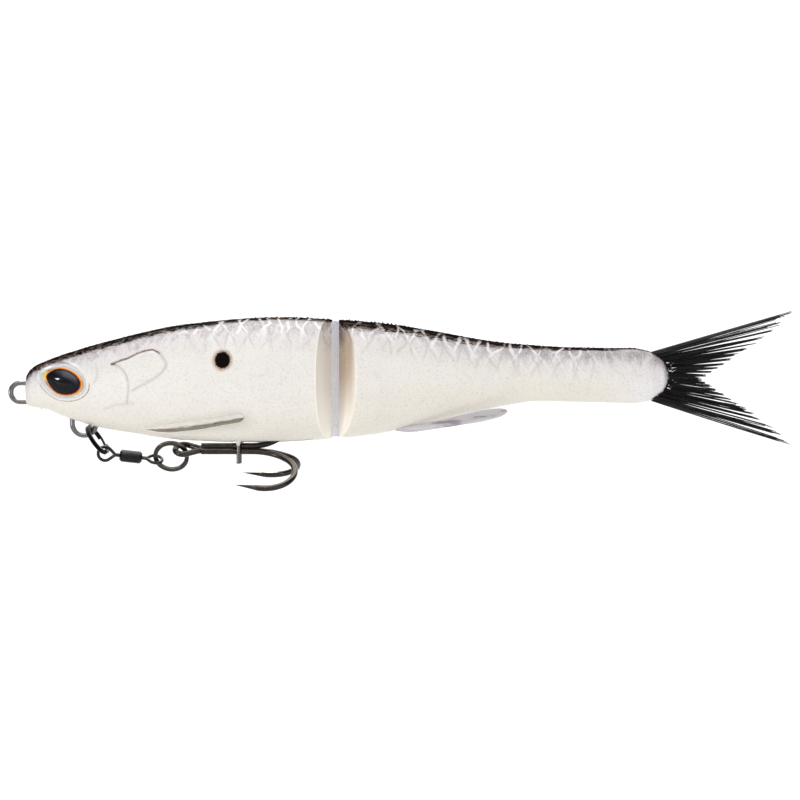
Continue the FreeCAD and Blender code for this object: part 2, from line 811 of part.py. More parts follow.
def hook_eye():
    """The eye of the hook, its legs closing on the shank; it lies in the plane of the left tine."""
    radius, wire = size("hook_eye_radius"), "Dimensions.hook_wire / 2"
    shank = Vector(size("hook_shank_start") + 0.6, 0, 0)
    span = shank.x - size("hook_eye_x")
    lean = math.asin(radius / span)
    touch = Vector(size("hook_eye_x") + radius * math.sin(lean), 0, radius * math.cos(lean))
    mirrored = Vector(touch.x, 0, -touch.z)
    bow = add("Part::Torus", "hook_eye_bow")
    bind(bow, Radius1="Dimensions.hook_eye_radius", Radius2=wire)
    bow.Angle3 = 180 + 2 * math.degrees(lean)
    start = Vector(touch.x - size("hook_eye_x"), 0, -touch.z).normalize()
    bow.Placement = Placement(
        Vector(size("hook_eye_x"), 0, 0), frame_rotation(start, Vector(0, 1, 0))
    )
    legs = [
        rod("hook_eye_leg_up", shank, touch, wire),
        rod("hook_eye_leg_down", shank, mirrored, wire),
    ]
    eye = fuse("hook_eye", [bow] + legs)
    turn = Rotation(Vector(1, 0, 0), 120 + size("hook_roll"))
    return place(eye, Vector(0, 0, size("hook_axis_z")), turn)


def treble_hook():
    """Two tines and the eye are one wire; the third tine is brazed on."""
    eye = hook_eye()
    left = tine("tine_left", 120, 0)
    top = tine("tine_top", 0, 0, "hook_stored_point_length")
    pair = fuse("treble_hook_pair", [eye, left, top])
    single = tine("tine_right", 240, size("hook_single_gap"))
    cut("treble_hook_single", single, [pair])


# ---------------------------------------------------------------- the whole lure

NODES = [
    "front_body",
    "rear_body",
    "hinge_cloth_front",
    "hinge_cloth_rear",
    "wire_harness",
    "ballast_weight",
    "hook_clip",
    "eye_foil_left",
    "eye_foil_right",
    "eye_lens_left",
    "eye_lens_right",
    "pectoral_fin_left",
    "pectoral_fin_right",
    "pelvic_fin_left",
    "pelvic_fin_right",
    "tail_bristles",
    "tail_bond_plug",
    "chin_split_ring",
    "swivel_front_eye",
    "swivel_barrel",
    "swivel_rear_eye",
    "hook_split_ring",
    "treble_hook_pair",
    "treble_hook_single",
]


def build():
    fill_sheet()
    front, rear = body_loft("front", len(FRONT_STATIONS)), body_loft("rear", len(REAR_STATIONS))
    wire = harness()
    clip = hook_clip()
    weight = ballast(wire)
    sockets = eye_parts("left", -1) + eye_parts("right", 1)
    front_leaf, rear_leaf = front_cloth(), rear_cloth()
    shell = fuse("front_shell", [front] + clip_nubs())
    inside = [bevel("front_bevel", -1), hook_slot(), front_leaf, wire, clip, weight]
    cut("front_body", shell, inside + sockets)
    tail, plug = brush_tail(), bond_plug()
    cut("rear_body", rear, [bevel("rear_bevel", 1), rear_leaf, tail, plug])
    for side, suffix in ((-1, "left"), (1, "right")):
        fin(f"pectoral_fin_{suffix}", "pectoral", side, front)
        fin(f"pelvic_fin_{suffix}", "pelvic", side, rear)
    chin_ring()
    hook_ring()
    first, last, along = swivel_axis()
    middle = first + along * 6.0
    swivel_barrel(middle, along)
    upright = Vector(0, 0, 1)
    back = along * -1
    swivel_eye("swivel_front_eye", 6.0, middle, frame_rotation(back, upright))
    roll = Rotation(along, -(90 - size("rear_loop_roll")))
    flat = roll.multiply(frame_rotation(along, upright))
    swivel_eye("swivel_rear_eye", (last - middle).Length, middle, flat)
    treble_hook()
    DOC.recompute()


def check_and_export():
    """Stops on any failed object, then writes one STEP file for each node."""
    bad = [o.Label for o in DOC.Objects if "Invalid" in o.State or "Error" in o.State]
    if bad:
        raise SystemExit(f"failed objects: {bad}")
    os.makedirs("parts", exist_ok=True)
    shapes = {}
    for label in NODES:
        shape = DOC.getObjectsByLabel(label)[0].Shape
        if shape.isNull() or not shape.isValid() or not shape.Solids:
            raise SystemExit(f"{label} has no valid solid")
        shapes[label] = shape
    for label, shape in shapes.items():
        shape.exportStep(f"parts/{label}.step")
        print(label, len(shape.Solids), "solid(s)", round(shape.Volume, 2), "mm3")


build()
check_and_export()
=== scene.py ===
"""A jointed soft swimbait with a cloth hinge, a bristle tail and a treble hook on a swivel rig."""

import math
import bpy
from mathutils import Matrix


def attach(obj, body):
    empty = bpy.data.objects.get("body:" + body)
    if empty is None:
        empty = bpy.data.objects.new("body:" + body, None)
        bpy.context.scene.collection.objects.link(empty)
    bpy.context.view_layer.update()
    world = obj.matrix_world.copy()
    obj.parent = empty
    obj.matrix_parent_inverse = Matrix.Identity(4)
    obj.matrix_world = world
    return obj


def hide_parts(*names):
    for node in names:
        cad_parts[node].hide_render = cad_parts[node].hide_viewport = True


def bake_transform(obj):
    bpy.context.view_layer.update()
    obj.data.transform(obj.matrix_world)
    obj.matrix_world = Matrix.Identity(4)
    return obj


bl_info = {
    "name": "Jointed swimbait",
    "version": (1, 0, 0),
    "blender": (4, 5, 0),
    "location": "3D View > Sidebar > Swimbait",
    "description": "Builds the visible pieces of a jointed soft swimbait round its fixed frame",
    "category": "Add Mesh",
}

import bmesh
import bpy
import numpy as np
from mathutils import Matrix, Vector

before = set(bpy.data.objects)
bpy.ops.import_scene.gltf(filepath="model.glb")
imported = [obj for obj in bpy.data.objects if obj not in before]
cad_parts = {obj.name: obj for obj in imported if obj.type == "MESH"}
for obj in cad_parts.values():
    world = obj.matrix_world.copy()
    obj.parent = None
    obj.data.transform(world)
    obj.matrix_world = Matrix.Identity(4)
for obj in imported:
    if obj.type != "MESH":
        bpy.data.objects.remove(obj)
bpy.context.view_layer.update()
MM = 0.001

# Stations of the soft bodies in mm: distance from the line tie, back, belly and half width.
FRONT_STATIONS = (
    (1.5, 4.3, -3.1, 2.6),
    (3.2, 5.9, -3.4, 3.5),
    (6.0, 7.3, -3.9, 4.5),
    (11.3, 9.2, -6.0, 6.0),
    (18.3, 11.3, -8.1, 7.7),
    (26.0, 13.3, -9.4, 9.1),
    (35.0, 15.3, -10.8, 10.3),
    (44.5, 16.5, -11.4, 11.0),
    (54.0, 17.3, -11.7, 11.2),
    (64.0, 17.4, -11.5, 11.0),
    (73.5, 16.9, -10.6, 10.4),
)
REAR_STATIONS = (
    (73.5, 16.9, -10.6, 10.4),
    (82.0, 16.3, -9.8, 9.5),
    (91.0, 15.2, -8.0, 8.1),
    (100.0, 13.6, -5.9, 6.7),
    (110.0, 11.9, -3.7, 5.3),
    (119.0, 11.0, -2.1, 4.3),
    (128.0, 10.5, -2.2, 3.6),
    (138.0, 10.3, -2.4, 3.1),
    (144.5, 10.0, -2.3, 2.8),
    (148.3, 8.6, -1.1, 2.3),
    (150.3, 6.4, 1.0, 1.7),
    (151.0, 4.6, 2.8, 0.8),
)
HINGE_X = 73.5
# How each body is cut back at the joint: the gap on the middle plane, the depth at the flank and its curve.
BEVELS = {-1: (0.75, 4.2, 0.65), 1: (0.75, 5.2, 1.2)}
BEVEL_HALF_WIDTH = 10.4
EYE_CENTRE = (10.75, 5.25, 2.45)

# Creases of the gill cover in mm along the side: (distance from the line tie, height).
GILL_TOP = ((22.3, 6.5), (24.1, 7.2), (26.0, 7.8), (28.0, 8.8), (30.1, 9.5), (31.7, 9.7), (33.3, 9.0))
GILL_BACK = ((33.3, 9.0), (34.5, 7.6), (35.0, 6.1), (33.7, 4.2), (31.3, 2.6), (27.1, 0.3))
GILL_FRONT = ((22.3, 6.5), (23.9, 5.9), (25.3, 4.7), (26.2, 2.8), (26.3, 0.6), (25.9, -2.4))
GILL_LOWER = ((35.6, 4.5), (33.5, 2.6), (30.8, 1.0), (26.5, -1.2))
CHEEK_LINES = (
    ((20.5, -3.9), (23.5, -2.9), (27.5, -2.6)),
    ((18.6, 6.0), (18.9, 3.9), (18.2, 2.2)),
)
SPOT = (47.95, 7.3)
SPOT_SIZE = (1.9, 2.05)
FAR_FROM_SPOT = 5.0
# How far from the middle plane the flank's own relief and paint begin, in mm.
FLANK_FROM = 1.2

# The belly slot that stores the hook's upper point: its outline along the side and its two walls across.
SLOT_OUTLINE = (
    (49.5, -14.0), (49.5, 1.7), (51.2, 3.1), (55.0, 3.6),
    (62.4, 2.6), (66.1, -1.6), (67.9, -5.9), (68.8, -14.0),
)
SLOT_WALLS = (-2.8, 1.3)

# The boss that each prong of the clip leaves through: (height, radius) from the root down.
NUB_PROFILE = ((-9.0, 1.25), (-10.8, 1.1), (-11.6, 0.9), (-12.2, 0.80), (-12.5, 0.70), (-12.62, 0.55))
PRONG_X = 51.0
PRONG_HALF_GAP = 2.1

# Each fin's lower edge and root along the side, and how far out each stands along its length, in mm.
PECTORAL = {
    "low": ((29.9, -8.9), (35.7, -9.25), (42.7, -8.5), (48.7, -7.4), (53.0, -6.7)),
    "high": ((29.9, -8.2), (35.7, -7.3), (42.7, -6.4), (48.7, -5.4), (53.0, -4.7)),
    "out_low": ((0, 0.3, 0.7, 1), (6.6, 9.9, 11.4, 11.6)),
    "out_high": ((0, 0.3, 0.7, 1), (6.6, 8.6, 9.4, 9.9)),
    "thick": 0.36,
    "tip_round": 0.045,
}
PELVIC = {
    "low": ((87.4, -9.6), (93.0, -9.1), (100.0, -8.0), (107.2, -6.9), (113.4, -5.3)),
    "high": ((87.4, -8.2), (93.0, -7.3), (100.0, -6.0), (107.2, -4.3), (113.4, -3.4)),
    "out_low": ((0, 0.35, 0.7, 1), (1.9, 3.6, 5.0, 5.6)),
    "out_high": ((0, 0.35, 0.7, 1), (2.0, 2.4, 3.0, 3.6)),
    "thick": 0.3,
    "tip_round": 0.10,
}


# ---------------------------------------------------------------- settings


def length(name, description, size):
    """A length property; the size is in mm."""
    return bpy.props.FloatProperty(name=name, description=description, default=size * MM, unit="LENGTH")


def tone(name, description, colour):
    return bpy.props.FloatVectorProperty(
        name=name, description=description, subtype="COLOR", size=3, default=colour
    )


class SwimbaitBodySettings(bpy.types.PropertyGroup):
    rings: bpy.props.IntProperty(name="Rings", description="Rings along each body", default=340, min=40)
    sides: bpy.props.IntProperty(name="Sides", description="Points round each ring", default=190, min=32)
    roundness: bpy.props.FloatProperty(
        name="Section power", description="2 is an ellipse, more is squarer", default=2.12, min=1.8, max=3
    )
    crease_depth: length("Crease depth", "Depth of the gill creases", 0.2)
    pearl: tone("Pearl", "Colour of the flanks", (0.80, 0.775, 0.735))
    cool: tone("Cool pearl", "Colour of the upper flanks and tail", (0.79, 0.765, 0.775))
    back: tone("Back", "Colour of the airbrushed back", (0.009, 0.007, 0.006))
    umber: tone("Umber", "Colour of the airbrushed shading", (0.16, 0.075, 0.03))


class SwimbaitEyeSettings(bpy.types.PropertyGroup):
    front: length("Front reach", "Middle to front tip", 5.95)
    rear: length("Rear reach", "Middle to rear edge", 5.85)
    half_height: length("Half height", "Middle to upper edge", 3.8)
    foil_share: bpy.props.FloatProperty(name="Foil share", description="Foil size in the rim", default=0.87)
    dome: length("Dome", "Height of the clear dome", 1.15)


class SwimbaitTailSettings(bpy.types.PropertyGroup):
    bristles: bpy.props.IntProperty(name="Bristles", description="Filaments in all", default=235, min=10)
    thickness: length("Filament", "Diameter of a filament at its root", 0.25)
    seed: bpy.props.IntProperty(name="Seed", description="Seed of the random spread", default=7)


class SwimbaitClothSettings(bpy.types.PropertyGroup):
    front: length("Front edge", "Front edge of the strip, inside the front body", 68.1)
    rear: length("Rear edge", "Rear edge of the strip, inside the rear body", 78.3)
    top: length("Top edge", "Height of the top edge", 16.5)
    bottom: length("Bottom edge", "Height of the bottom edge", -10.2)
    pitch: length("Thread pitch", "Gap between threads", 0.62)


# ---------------------------------------------------------------- material helpers


class Value:
    """A number in a node tree that adds, subtracts and multiplies like a plain one."""

    def __init__(self, owner, socket):
        self.owner = owner
        self.socket = socket

    def __add__(self, other):
        return self.owner.math("ADD", self, other)

    def __sub__(self, other):
        return self.owner.math("SUBTRACT", self, other)

    def __rsub__(self, other):
        return self.owner.math("SUBTRACT", other, self)

    def __mul__(self, other):
        return self.owner.math("MULTIPLY", self, other)

    __rmul__ = __mul__

    def __truediv__(self, other):
        return self.owner.math("DIVIDE", self, other)


class NodeBuilder:
    """Adds nodes to a tree and feeds their sockets with links or plain values."""

    def node(self, kind, settings=None, **values):
        """Adds a node with its own settings and its sockets' values."""
        made = self.tree.nodes.new(kind)
        for key, value in (settings or {}).items():
            setattr(made, key, value)
        return self.fill(made, values)

    def fill(self, node, values):
        """Feeds a node's sockets by name; an underscore stands for a space."""
        for key, value in values.items():
            self.feed(node.inputs[key.replace("_", " ")], value)
        return node

    def feed(self, socket, value):
        if isinstance(value, Value):
            value = value.socket
        if isinstance(value, bpy.types.Node):
            value = value.outputs[0]
        if isinstance(value, bpy.types.NodeSocket):
            self.tree.links.new(value, socket)
        elif isinstance(value, (tuple, list)) and len(value) == 3 and socket.type == "RGBA":
            socket.default_value = (*value, 1.0)
        else:
            socket.default_value = value

    def math(self, operation, first, second=0.0):
        made = self.node("ShaderNodeMath", {"operation": operation})
        for socket, value in zip(made.inputs, (first, second)):
            self.feed(socket, value)
        return Value(self, made.outputs[0])

    def split(self, vector):
        """The three numbers of a vector."""
        made = self.node("ShaderNodeSeparateXYZ")
        self.feed(made.inputs[0], vector)
        return [Value(self, socket) for socket in made.outputs]


class Shader(NodeBuilder):
    """A small builder for one procedural material."""

    def __init__(self, name):
        self.material = bpy.data.materials.new(name)
        self.material.use_nodes = True
        self.tree = self.material.node_tree
        self.tree.nodes.clear()
        self.surface = self.node("ShaderNodeBsdfPrincipled")
        self.node("ShaderNodeOutputMaterial", Surface=self.surface)

    def set(self, **values):
        """Sets the surface's own sockets."""
        self.fill(self.surface, values)

    def position(self, stretch=(1, 1, 1), tilt=0.0):
        """The object's own coordinates in mm, stretched and then turned about the side axis."""
        mapping = self.node(
            "ShaderNodeMapping",
            Vector=self.node("ShaderNodeTexCoord").outputs["Object"],
            Scale=[s / MM for s in stretch],
            Rotation=(0, math.radians(tilt), 0),
        )
        return mapping.outputs["Vector"]

    def attribute(self, name):
        return Value(self, self.node("ShaderNodeAttribute", {"attribute_name": name}).outputs["Fac"])

    def noise(self, scale, detail=2.0, roughness=0.5, vector=None, distortion=0.0):
        made = self.node(
            "ShaderNodeTexNoise",
            Vector=vector if vector is not None else self.position(),
            Scale=scale,
            Detail=detail,
            Roughness=roughness,
            Distortion=distortion,
        )
        return Value(self, made.outputs["Fac"])

    def strokes(self, spacing, tilt):
        """Soft wavering parallel strokes, a spacing in mm apart."""
        made = self.node(
            "ShaderNodeTexWave",
            {"wave_type": "BANDS", "bands_direction": "X"},
            Vector=self.position(tilt=tilt),
            Scale=math.pi / (10 * spacing),
            Distortion=4.2,
            Detail=2.0,
            Detail_Scale=1.5,
        )
        return self.ramp(made.outputs["Fac"], 0.91, 1.0)

    def cells(self, scale):
        """Distance from each point to the nearest of many scattered spots."""
        made = self.node("ShaderNodeTexVoronoi", Vector=self.position(), Scale=scale)
        return Value(self, made.outputs["Distance"])

    def ramp(self, value, low, high, start=0.0, end=1.0):
        """A smooth step from start to end as value goes from low to high."""
        made = self.node(
            "ShaderNodeMapRange",
            {"interpolation_type": "SMOOTHSTEP"},
            Value=value,
            From_Min=low,
            From_Max=high,
            To_Min=start,
            To_Max=end,
        )
        return Value(self, made.outputs["Result"])

    def mix(self, factor, first, second):
        """A colour between two others."""
        made = self.node("ShaderNodeMix", {"data_type": "RGBA"}, Factor=factor)
        self.feed(made.inputs[6], first)
        self.feed(made.inputs[7], second)
        return made.outputs[2]

    def bump(self, height, strength, distance=0.1):
        """Fine relief; the distance is in mm."""
        made = self.node("ShaderNodeBump", Height=height, Strength=strength, Distance=distance * MM)
        self.feed(self.surface.inputs["Normal"], made)
        return self


def paint(thing, material):
    """Puts one material on a mesh object."""
    thing.data.materials.clear()
    thing.data.materials.append(material)
    return thing


def metal(name, colour, roughness, wear):
    """Plated wire: fine draw lines, patchy roughness, a warmer tone where the plating is thin, and painted
    light that makes upward faces lighter and lower faces darker.
    """
    shader = Shader(name)
    patch = shader.noise(0.7, 3.0, 0.6)
    grain = shader.noise(9.0, 2.0, 0.6, shader.position((0.25, 1, 1)))
    thin = shader.ramp(patch, 0.52, 0.78) * wear
    # painted light: the colour is lighter where the surface faces up and darker where it faces down, standing
    # in for highlights and shade from the lights
    facing_up = shader.split(shader.node("ShaderNodeTexCoord").outputs["Normal"])[2]
    lit = tuple(min(0.9, 3.4 * part + 0.06) for part in colour)
    painted_low_shade = tuple(0.42 * part for part in colour)
    painted_top_light = shader.mix(shader.ramp(facing_up, 0.35, 0.82), painted_low_shade, lit)
    shader.set(
        Base_Color=shader.mix(thin, painted_top_light, (0.36, 0.32, 0.29)),
        Roughness=shader.ramp(grain, 0.25, 0.8, roughness * 0.75, roughness * 1.5),
        Metallic=1.0,
    )
    return shader.bump(grain, 0.12, 0.05).material


# ---------------------------------------------------------------- mesh helpers


def make_object(name, vertices, faces, smooth=True):
    """A mesh object from points in metres."""
    mesh = bpy.data.meshes.new(name)
    mesh.from_pydata([tuple(map(float, v)) for v in vertices], [], [tuple(map(int, f)) for f in faces])
    mesh.validate()
    for face in mesh.polygons:
        face.use_smooth = smooth
    thing = bpy.data.objects.new(name, mesh)
    bpy.context.scene.collection.objects.link(thing)
    return thing


def prism(name, outline, low, high, lift):
    """A closed prism: an outline carried from low to high; lift turns (u, v, w) in mm to metres."""
    count = len(outline)
    points = [lift(u, v, low) for u, v in outline] + [lift(u, v, high) for u, v in outline]
    faces = [list(range(count))[::-1], list(range(count, 2 * count))]
    faces += [[i, (i + 1) % count, count + (i + 1) % count, count + i] for i in range(count)]
    thing = make_object(name, points, faces, smooth=False)
    face_outwards(thing)
    return thing


def face_outwards(thing):
    """Recalculates the normals of a closed mesh."""
    shape = bmesh.new()
    shape.from_mesh(thing.data)
    bmesh.ops.recalc_face_normals(shape, faces=shape.faces)
    shape.to_mesh(thing.data)
    shape.free()


def ring_faces(rows, sides):
    """The faces of a tube of equal rings, with a flat cap at each end."""
    faces = []
    for row in range(rows - 1):
        first, second = row * sides, (row + 1) * sides
        for step in range(sides):
            after = (step + 1) % sides
            faces.append((first + step, first + after, second + after, second + step))
    faces.append(list(range(sides)))
    faces.append([(rows - 1) * sides + step for step in range(sides)][::-1])
    return faces


def walls(rows, sides, start=0):
    """The side faces of a round body whose equal rings of points begin at start."""
    faces = []
    for row in range(rows - 1):
        this, following = start + row * sides, start + (row + 1) * sides
        for side in range(sides):
            after = (side + 1) % sides
            faces.append((this + side, following + side, following + after, this + after))
    return faces


def bell(distance, width):
    """1 on a line, fading over a width on each side."""
    return np.exp(-((distance / width) ** 2))


def claim(thing, slot, body, *nodes):
    """Lets a finished piece stand for its nodes and ride on its body."""
    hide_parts(*nodes)
    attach(thing, body)


def bake_modifiers(thing):
    """Replaces the mesh with its evaluated form and drops the modifiers."""
    graph = bpy.context.evaluated_depsgraph_get()
    mesh = bpy.data.meshes.new_from_object(thing.evaluated_get(graph))
    mesh.name = thing.name
    thing.modifiers.clear()
    thing.data = mesh
    return thing


def carve(thing, tools, operation="DIFFERENCE"):
    """Cuts or joins closed tools, then drops them."""
    for tool in tools:
        cutter = thing.modifiers.new(tool.name, "BOOLEAN")
        cutter.operation = operation
        cutter.solver = "EXACT"
        cutter.object = tool
    bpy.context.view_layer.update()
    bake_modifiers(thing)
    for tool in tools:
        bpy.data.objects.remove(tool)
    return thing


def soften(thing, angle):
    """Smooth shading that keeps edges sharper than the angle."""
    for face in thing.data.polygons:
        face.use_smooth = True
    thing.data.set_sharp_from_angle(angle=math.radians(angle))
    return thing


def store(thing, **layers):
    """Stores named numbers for each point, for a material to read."""
    for name, values in layers.items():
        layer = thing.data.attributes.new(name, "FLOAT", "POINT")
        layer.data.foreach_set("value", np.asarray(values, np.float32))


def points_of(thing):
    """The mesh's points in mm."""
    flat = np.empty(len(thing.data.vertices) * 3)
    thing.data.vertices.foreach_get("co", flat)
    return flat.reshape(-1, 3) / MM


def smooth_step(value, low, high):
    """0 up to low and 1 from high, with a smooth rise between them."""
    share = np.clip((value - low) / (high - low), 0, 1)
    return share * share * (3 - 2 * share)


def distance_to_line(points, line):
    """Each point's least distance to a line of straight runs, in a plane."""
    best = np.full(len(points), 1e9)
    for start, end in zip(line[:-1], line[1:]):
        start, end = np.array(start), np.array(end)
        run = end - start
        share = np.clip(((points - start) @ run) / max(run @ run, 1e-9), 0, 1)
        best = np.minimum(best, np.linalg.norm(points - start - share[:, None] * run, axis=1))
    return best


def smooth_line(line, steps=8):
    """A line through the same points with rounded corners."""
    points = [np.array(p, float) for p in line]
    points = [2 * points[0] - points[1]] + points + [2 * points[-1] - points[-2]]
    made = []
    for a, b, c, d in zip(points, points[1:], points[2:], points[3:]):
        for step in range(steps):
            t = step / steps
            bend = (2 * a - 5 * b + 4 * c - d) * t**2 + (3 * b - a - 3 * c + d) * t**3
            made.append(0.5 * (2 * b + (c - a) * t + bend))
    return [tuple(p) for p in made] + [tuple(points[-2])]


def ripple(points, scale, seed):
    """A smooth random field of about -1 to 1, from summed waves with a fixed seed."""
    draw = np.random.default_rng(seed)
    total = np.zeros(len(points))
    for _ in range(14):
        direction = draw.normal(size=points.shape[1])
        direction *= draw.uniform(0.6, 1.6) / (scale * np.linalg.norm(direction))
        total += np.sin(points @ direction * 2 * math.pi + draw.uniform(0, 6.28))
    return total / 5


# ---------------------------------------------------------------- soft bodies


def station_values(stations, along):
    """Back, belly and half width at each distance, on a smooth line through the stations."""
    knots = np.array(stations, float)
    slopes = np.gradient(knots[:, 1:], knots[:, 0], axis=0)
    index = np.clip(np.searchsorted(knots[:, 0], along, "right") - 1, 0, len(knots) - 2)
    width = knots[index + 1, 0] - knots[index, 0]
    t = np.clip((along - knots[index, 0]) / width, 0, 1)[:, None]
    width = width[:, None]
    start, end = knots[index, 1:], knots[index + 1, 1:]
    rise_start, rise_end = slopes[index] * width, slopes[index + 1] * width
    return (
        start * (2 * t**3 - 3 * t**2 + 1)
        + rise_start * (t**3 - 2 * t**2 + t)
        + end * (3 * t**2 - 2 * t**3)
        + rise_end * (t**3 - t**2)
    )


def body_tube(name, stations, rings, sides, power, close_front, close_rear):
    """A closed body through the stations, with rounded ends where asked."""
    first, last = stations[0][0], stations[-1][0]
    along = np.linspace(first, last, rings)
    values = station_values(stations, along)
    rows = [(x, value, 1.0) for x, value in zip(along, values)]
    if close_front:
        rounding = [(0.45 * (1 - math.cos(a)), 0.80 + 0.2 * math.sin(a)) for a in (0.0, 0.5, 1.0)]
        flat_end = [(0.0, share) for share in (0.2, 0.4, 0.6)]
        rows = [(first + run, values[0], share) for run, share in flat_end + rounding] + rows[3:]
    else:
        rows = [(first, values[0], s) for s in (0.3, 0.6, 0.85)] + rows
    if close_rear:
        rows += [(last + 0.12, values[-1], 0.8), (last + 0.2, values[-1], 0.45)]
    else:
        rows += [(last, values[-1], s) for s in (0.85, 0.6, 0.3)]
    turn = np.linspace(0, 2 * math.pi, sides, endpoint=False)
    cosine, sine = np.cos(turn), np.sin(turn)
    across = np.sign(sine) * np.abs(sine) ** (2 / power)
    upright = np.sign(cosine) * np.abs(cosine) ** (2 / power)
    points = []
    for x, (top, bottom, half), share in rows:
        middle, tall = (top + bottom) / 2, (top - bottom) / 2
        ring = [np.full(sides, x), across * half * share, middle + upright * tall * share]
        points.append(np.stack(ring, 1))
    count = len(points)
    points = list(np.concatenate(points))
    top, bottom, _ = rows[0][1]
    points.append(np.array([rows[0][0], 0, (top + bottom) / 2]))
    top, bottom, _ = rows[-1][1]
    points.append(np.array([rows[-1][0] + (0.05 if close_rear else 0), 0, (top + bottom) / 2]))
    faces = walls(count, sides)
    for side in range(sides):
        after = (side + 1) % sides
        faces.append((count * sides, side, after))
        faces.append((count * sides + 1, (count - 1) * sides + after, (count - 1) * sides + side))
    thing = make_object(name, [p * MM for p in points], faces)
    face_outwards(thing)
    return thing


def move_along_normals(thing, amount):
    """Moves each point along its normal by an amount in mm."""
    mesh = thing.data
    normals = np.empty(len(mesh.vertices) * 3)
    mesh.vertices.foreach_get("normal", normals)
    places = points_of(thing) + normals.reshape(-1, 3) * amount[:, None]
    mesh.vertices.foreach_set("co", (places * MM).ravel())
    mesh.update()


def bevel_offset(side, across):
    """How far the body is cut back from the joint at a distance from the middle plane, in mm."""
    inner, outer, curve = BEVELS[side]
    return inner + (outer - inner) * (np.abs(across) / BEVEL_HALF_WIDTH) ** curve


def bevel_tool(name, side):
    """The curved wedge that opens the joint; side is -1 for the front body."""
    across = np.array((-14.0, -11.0, -9.0, -7.0, -5.0, -3.5, -2.0, -1.0, -0.4))
    across = np.concatenate((across, [0.0], -across[::-1]))
    past = HINGE_X - side * 6
    outline = [(past, across[0])]
    outline += [(HINGE_X + side * float(bevel_offset(side, y)), y) for y in across]
    outline.append((past, across[-1]))
    return prism(name, outline, -30, 30, lambda x, y, z: (x * MM, y * MM, z * MM))


def slot_tool():
    """The belly slot that stores the hook's upper point."""
    return prism("slot", list(SLOT_OUTLINE), *SLOT_WALLS, lambda x, z, y: (x * MM, y * MM, z * MM))


def parting_flash(points, top, bottom, seed):
    """The thin irregular ridge that the mould leaves along the back and belly, torn here and there."""
    along, x = points[:, :1], points[:, 0]
    upper, lower = points[:, 2] > top - 1.5, points[:, 2] < bottom + 1.5
    rough = ripple(along, 1.1, seed) + 0.8 * ripple(along, 0.45, seed + 1)
    torn = np.clip(ripple(along, 0.8, seed + 2) + 0.6 * ripple(along, 0.4, seed + 3), 0, 1.6)
    back_tear = smooth_step(x, 44, 66) * (1 - smooth_step(x, 84, 96))
    # torn stretches of the belly, and two burrs under the chin: middle, width and strength
    places = ((80, 6, 1), (115.5, 3, 1), (60, 9, 0.5), (4.9, 0.28, 2.6), (9.4, 0.3, 3.38))
    belly_tear = sum(strength * bell(x - middle, width) for middle, width, strength in places)
    fine = bell(points[:, 1], 0.30) * (upper | lower) * np.clip(0.03 + 0.07 * rough, 0.0, 0.16)
    return fine + bell(points[:, 1], 0.55) * torn * (0.32 * upper * back_tear + 0.34 * lower * belly_tear)


def eye_outline(settings, scale, count):
    """The eye's drop shape in its own plane, in mm; its point is towards the nose."""
    front, rear, half = settings.front / MM, settings.rear / MM, settings.half_height / MM
    made = []
    for step in range(count):
        turn = 2 * math.pi * step / count
        u, v = math.cos(turn), math.sin(turn)
        reach = rear if u > 0 else front
        pinch = 1 - 0.34 * max(0.0, -u) ** 1.8
        made.append((reach * u * scale, half * v * pinch * scale + 0.62 * max(0.0, -u) ** 2 * scale))
    return np.array(made)


def eye_matrix(side):
    """Local (x, y, out) to the row frame: y is up and out points away from the head."""
    yaw, pitch = math.radians(15), math.radians(12)
    along, out, up = EYE_CENTRE
    base = Matrix.Translation(Vector((along, side * out, up)) * MM)
    turn = Matrix.Rotation(side * yaw, 4, "Z")
    tilt = Matrix.Rotation(pitch, 4, "Y")
    roll = Matrix.Rotation(side * math.radians(-5), 4, "X")
    axes = Matrix(((1, 0, 0, 0), (0, 0, side, 0), (0, 1, 0, 0), (0, 0, 0, 1)))
    return base @ turn @ tilt @ roll @ axes


def eye_share(points, side, settings):
    """Each point's distance from the eye's middle, as a share of the rim, and its height over the eye."""
    inverse = np.array(eye_matrix(side).inverted())
    local = (points * MM) @ inverse[:3, :3].T + inverse[:3, 3]
    local = local / MM
    outline = eye_outline(settings, 1.0, 180)
    angles = np.arctan2(outline[:, 1], outline[:, 0])
    radii = np.linalg.norm(outline, axis=1)
    order = np.argsort(angles)
    here = np.arctan2(local[:, 1], local[:, 0])
    limit = np.interp(here, angles[order], radii[order], period=2 * math.pi)
    return np.linalg.norm(local[:, :2], axis=1) / limit, local[:, 2]


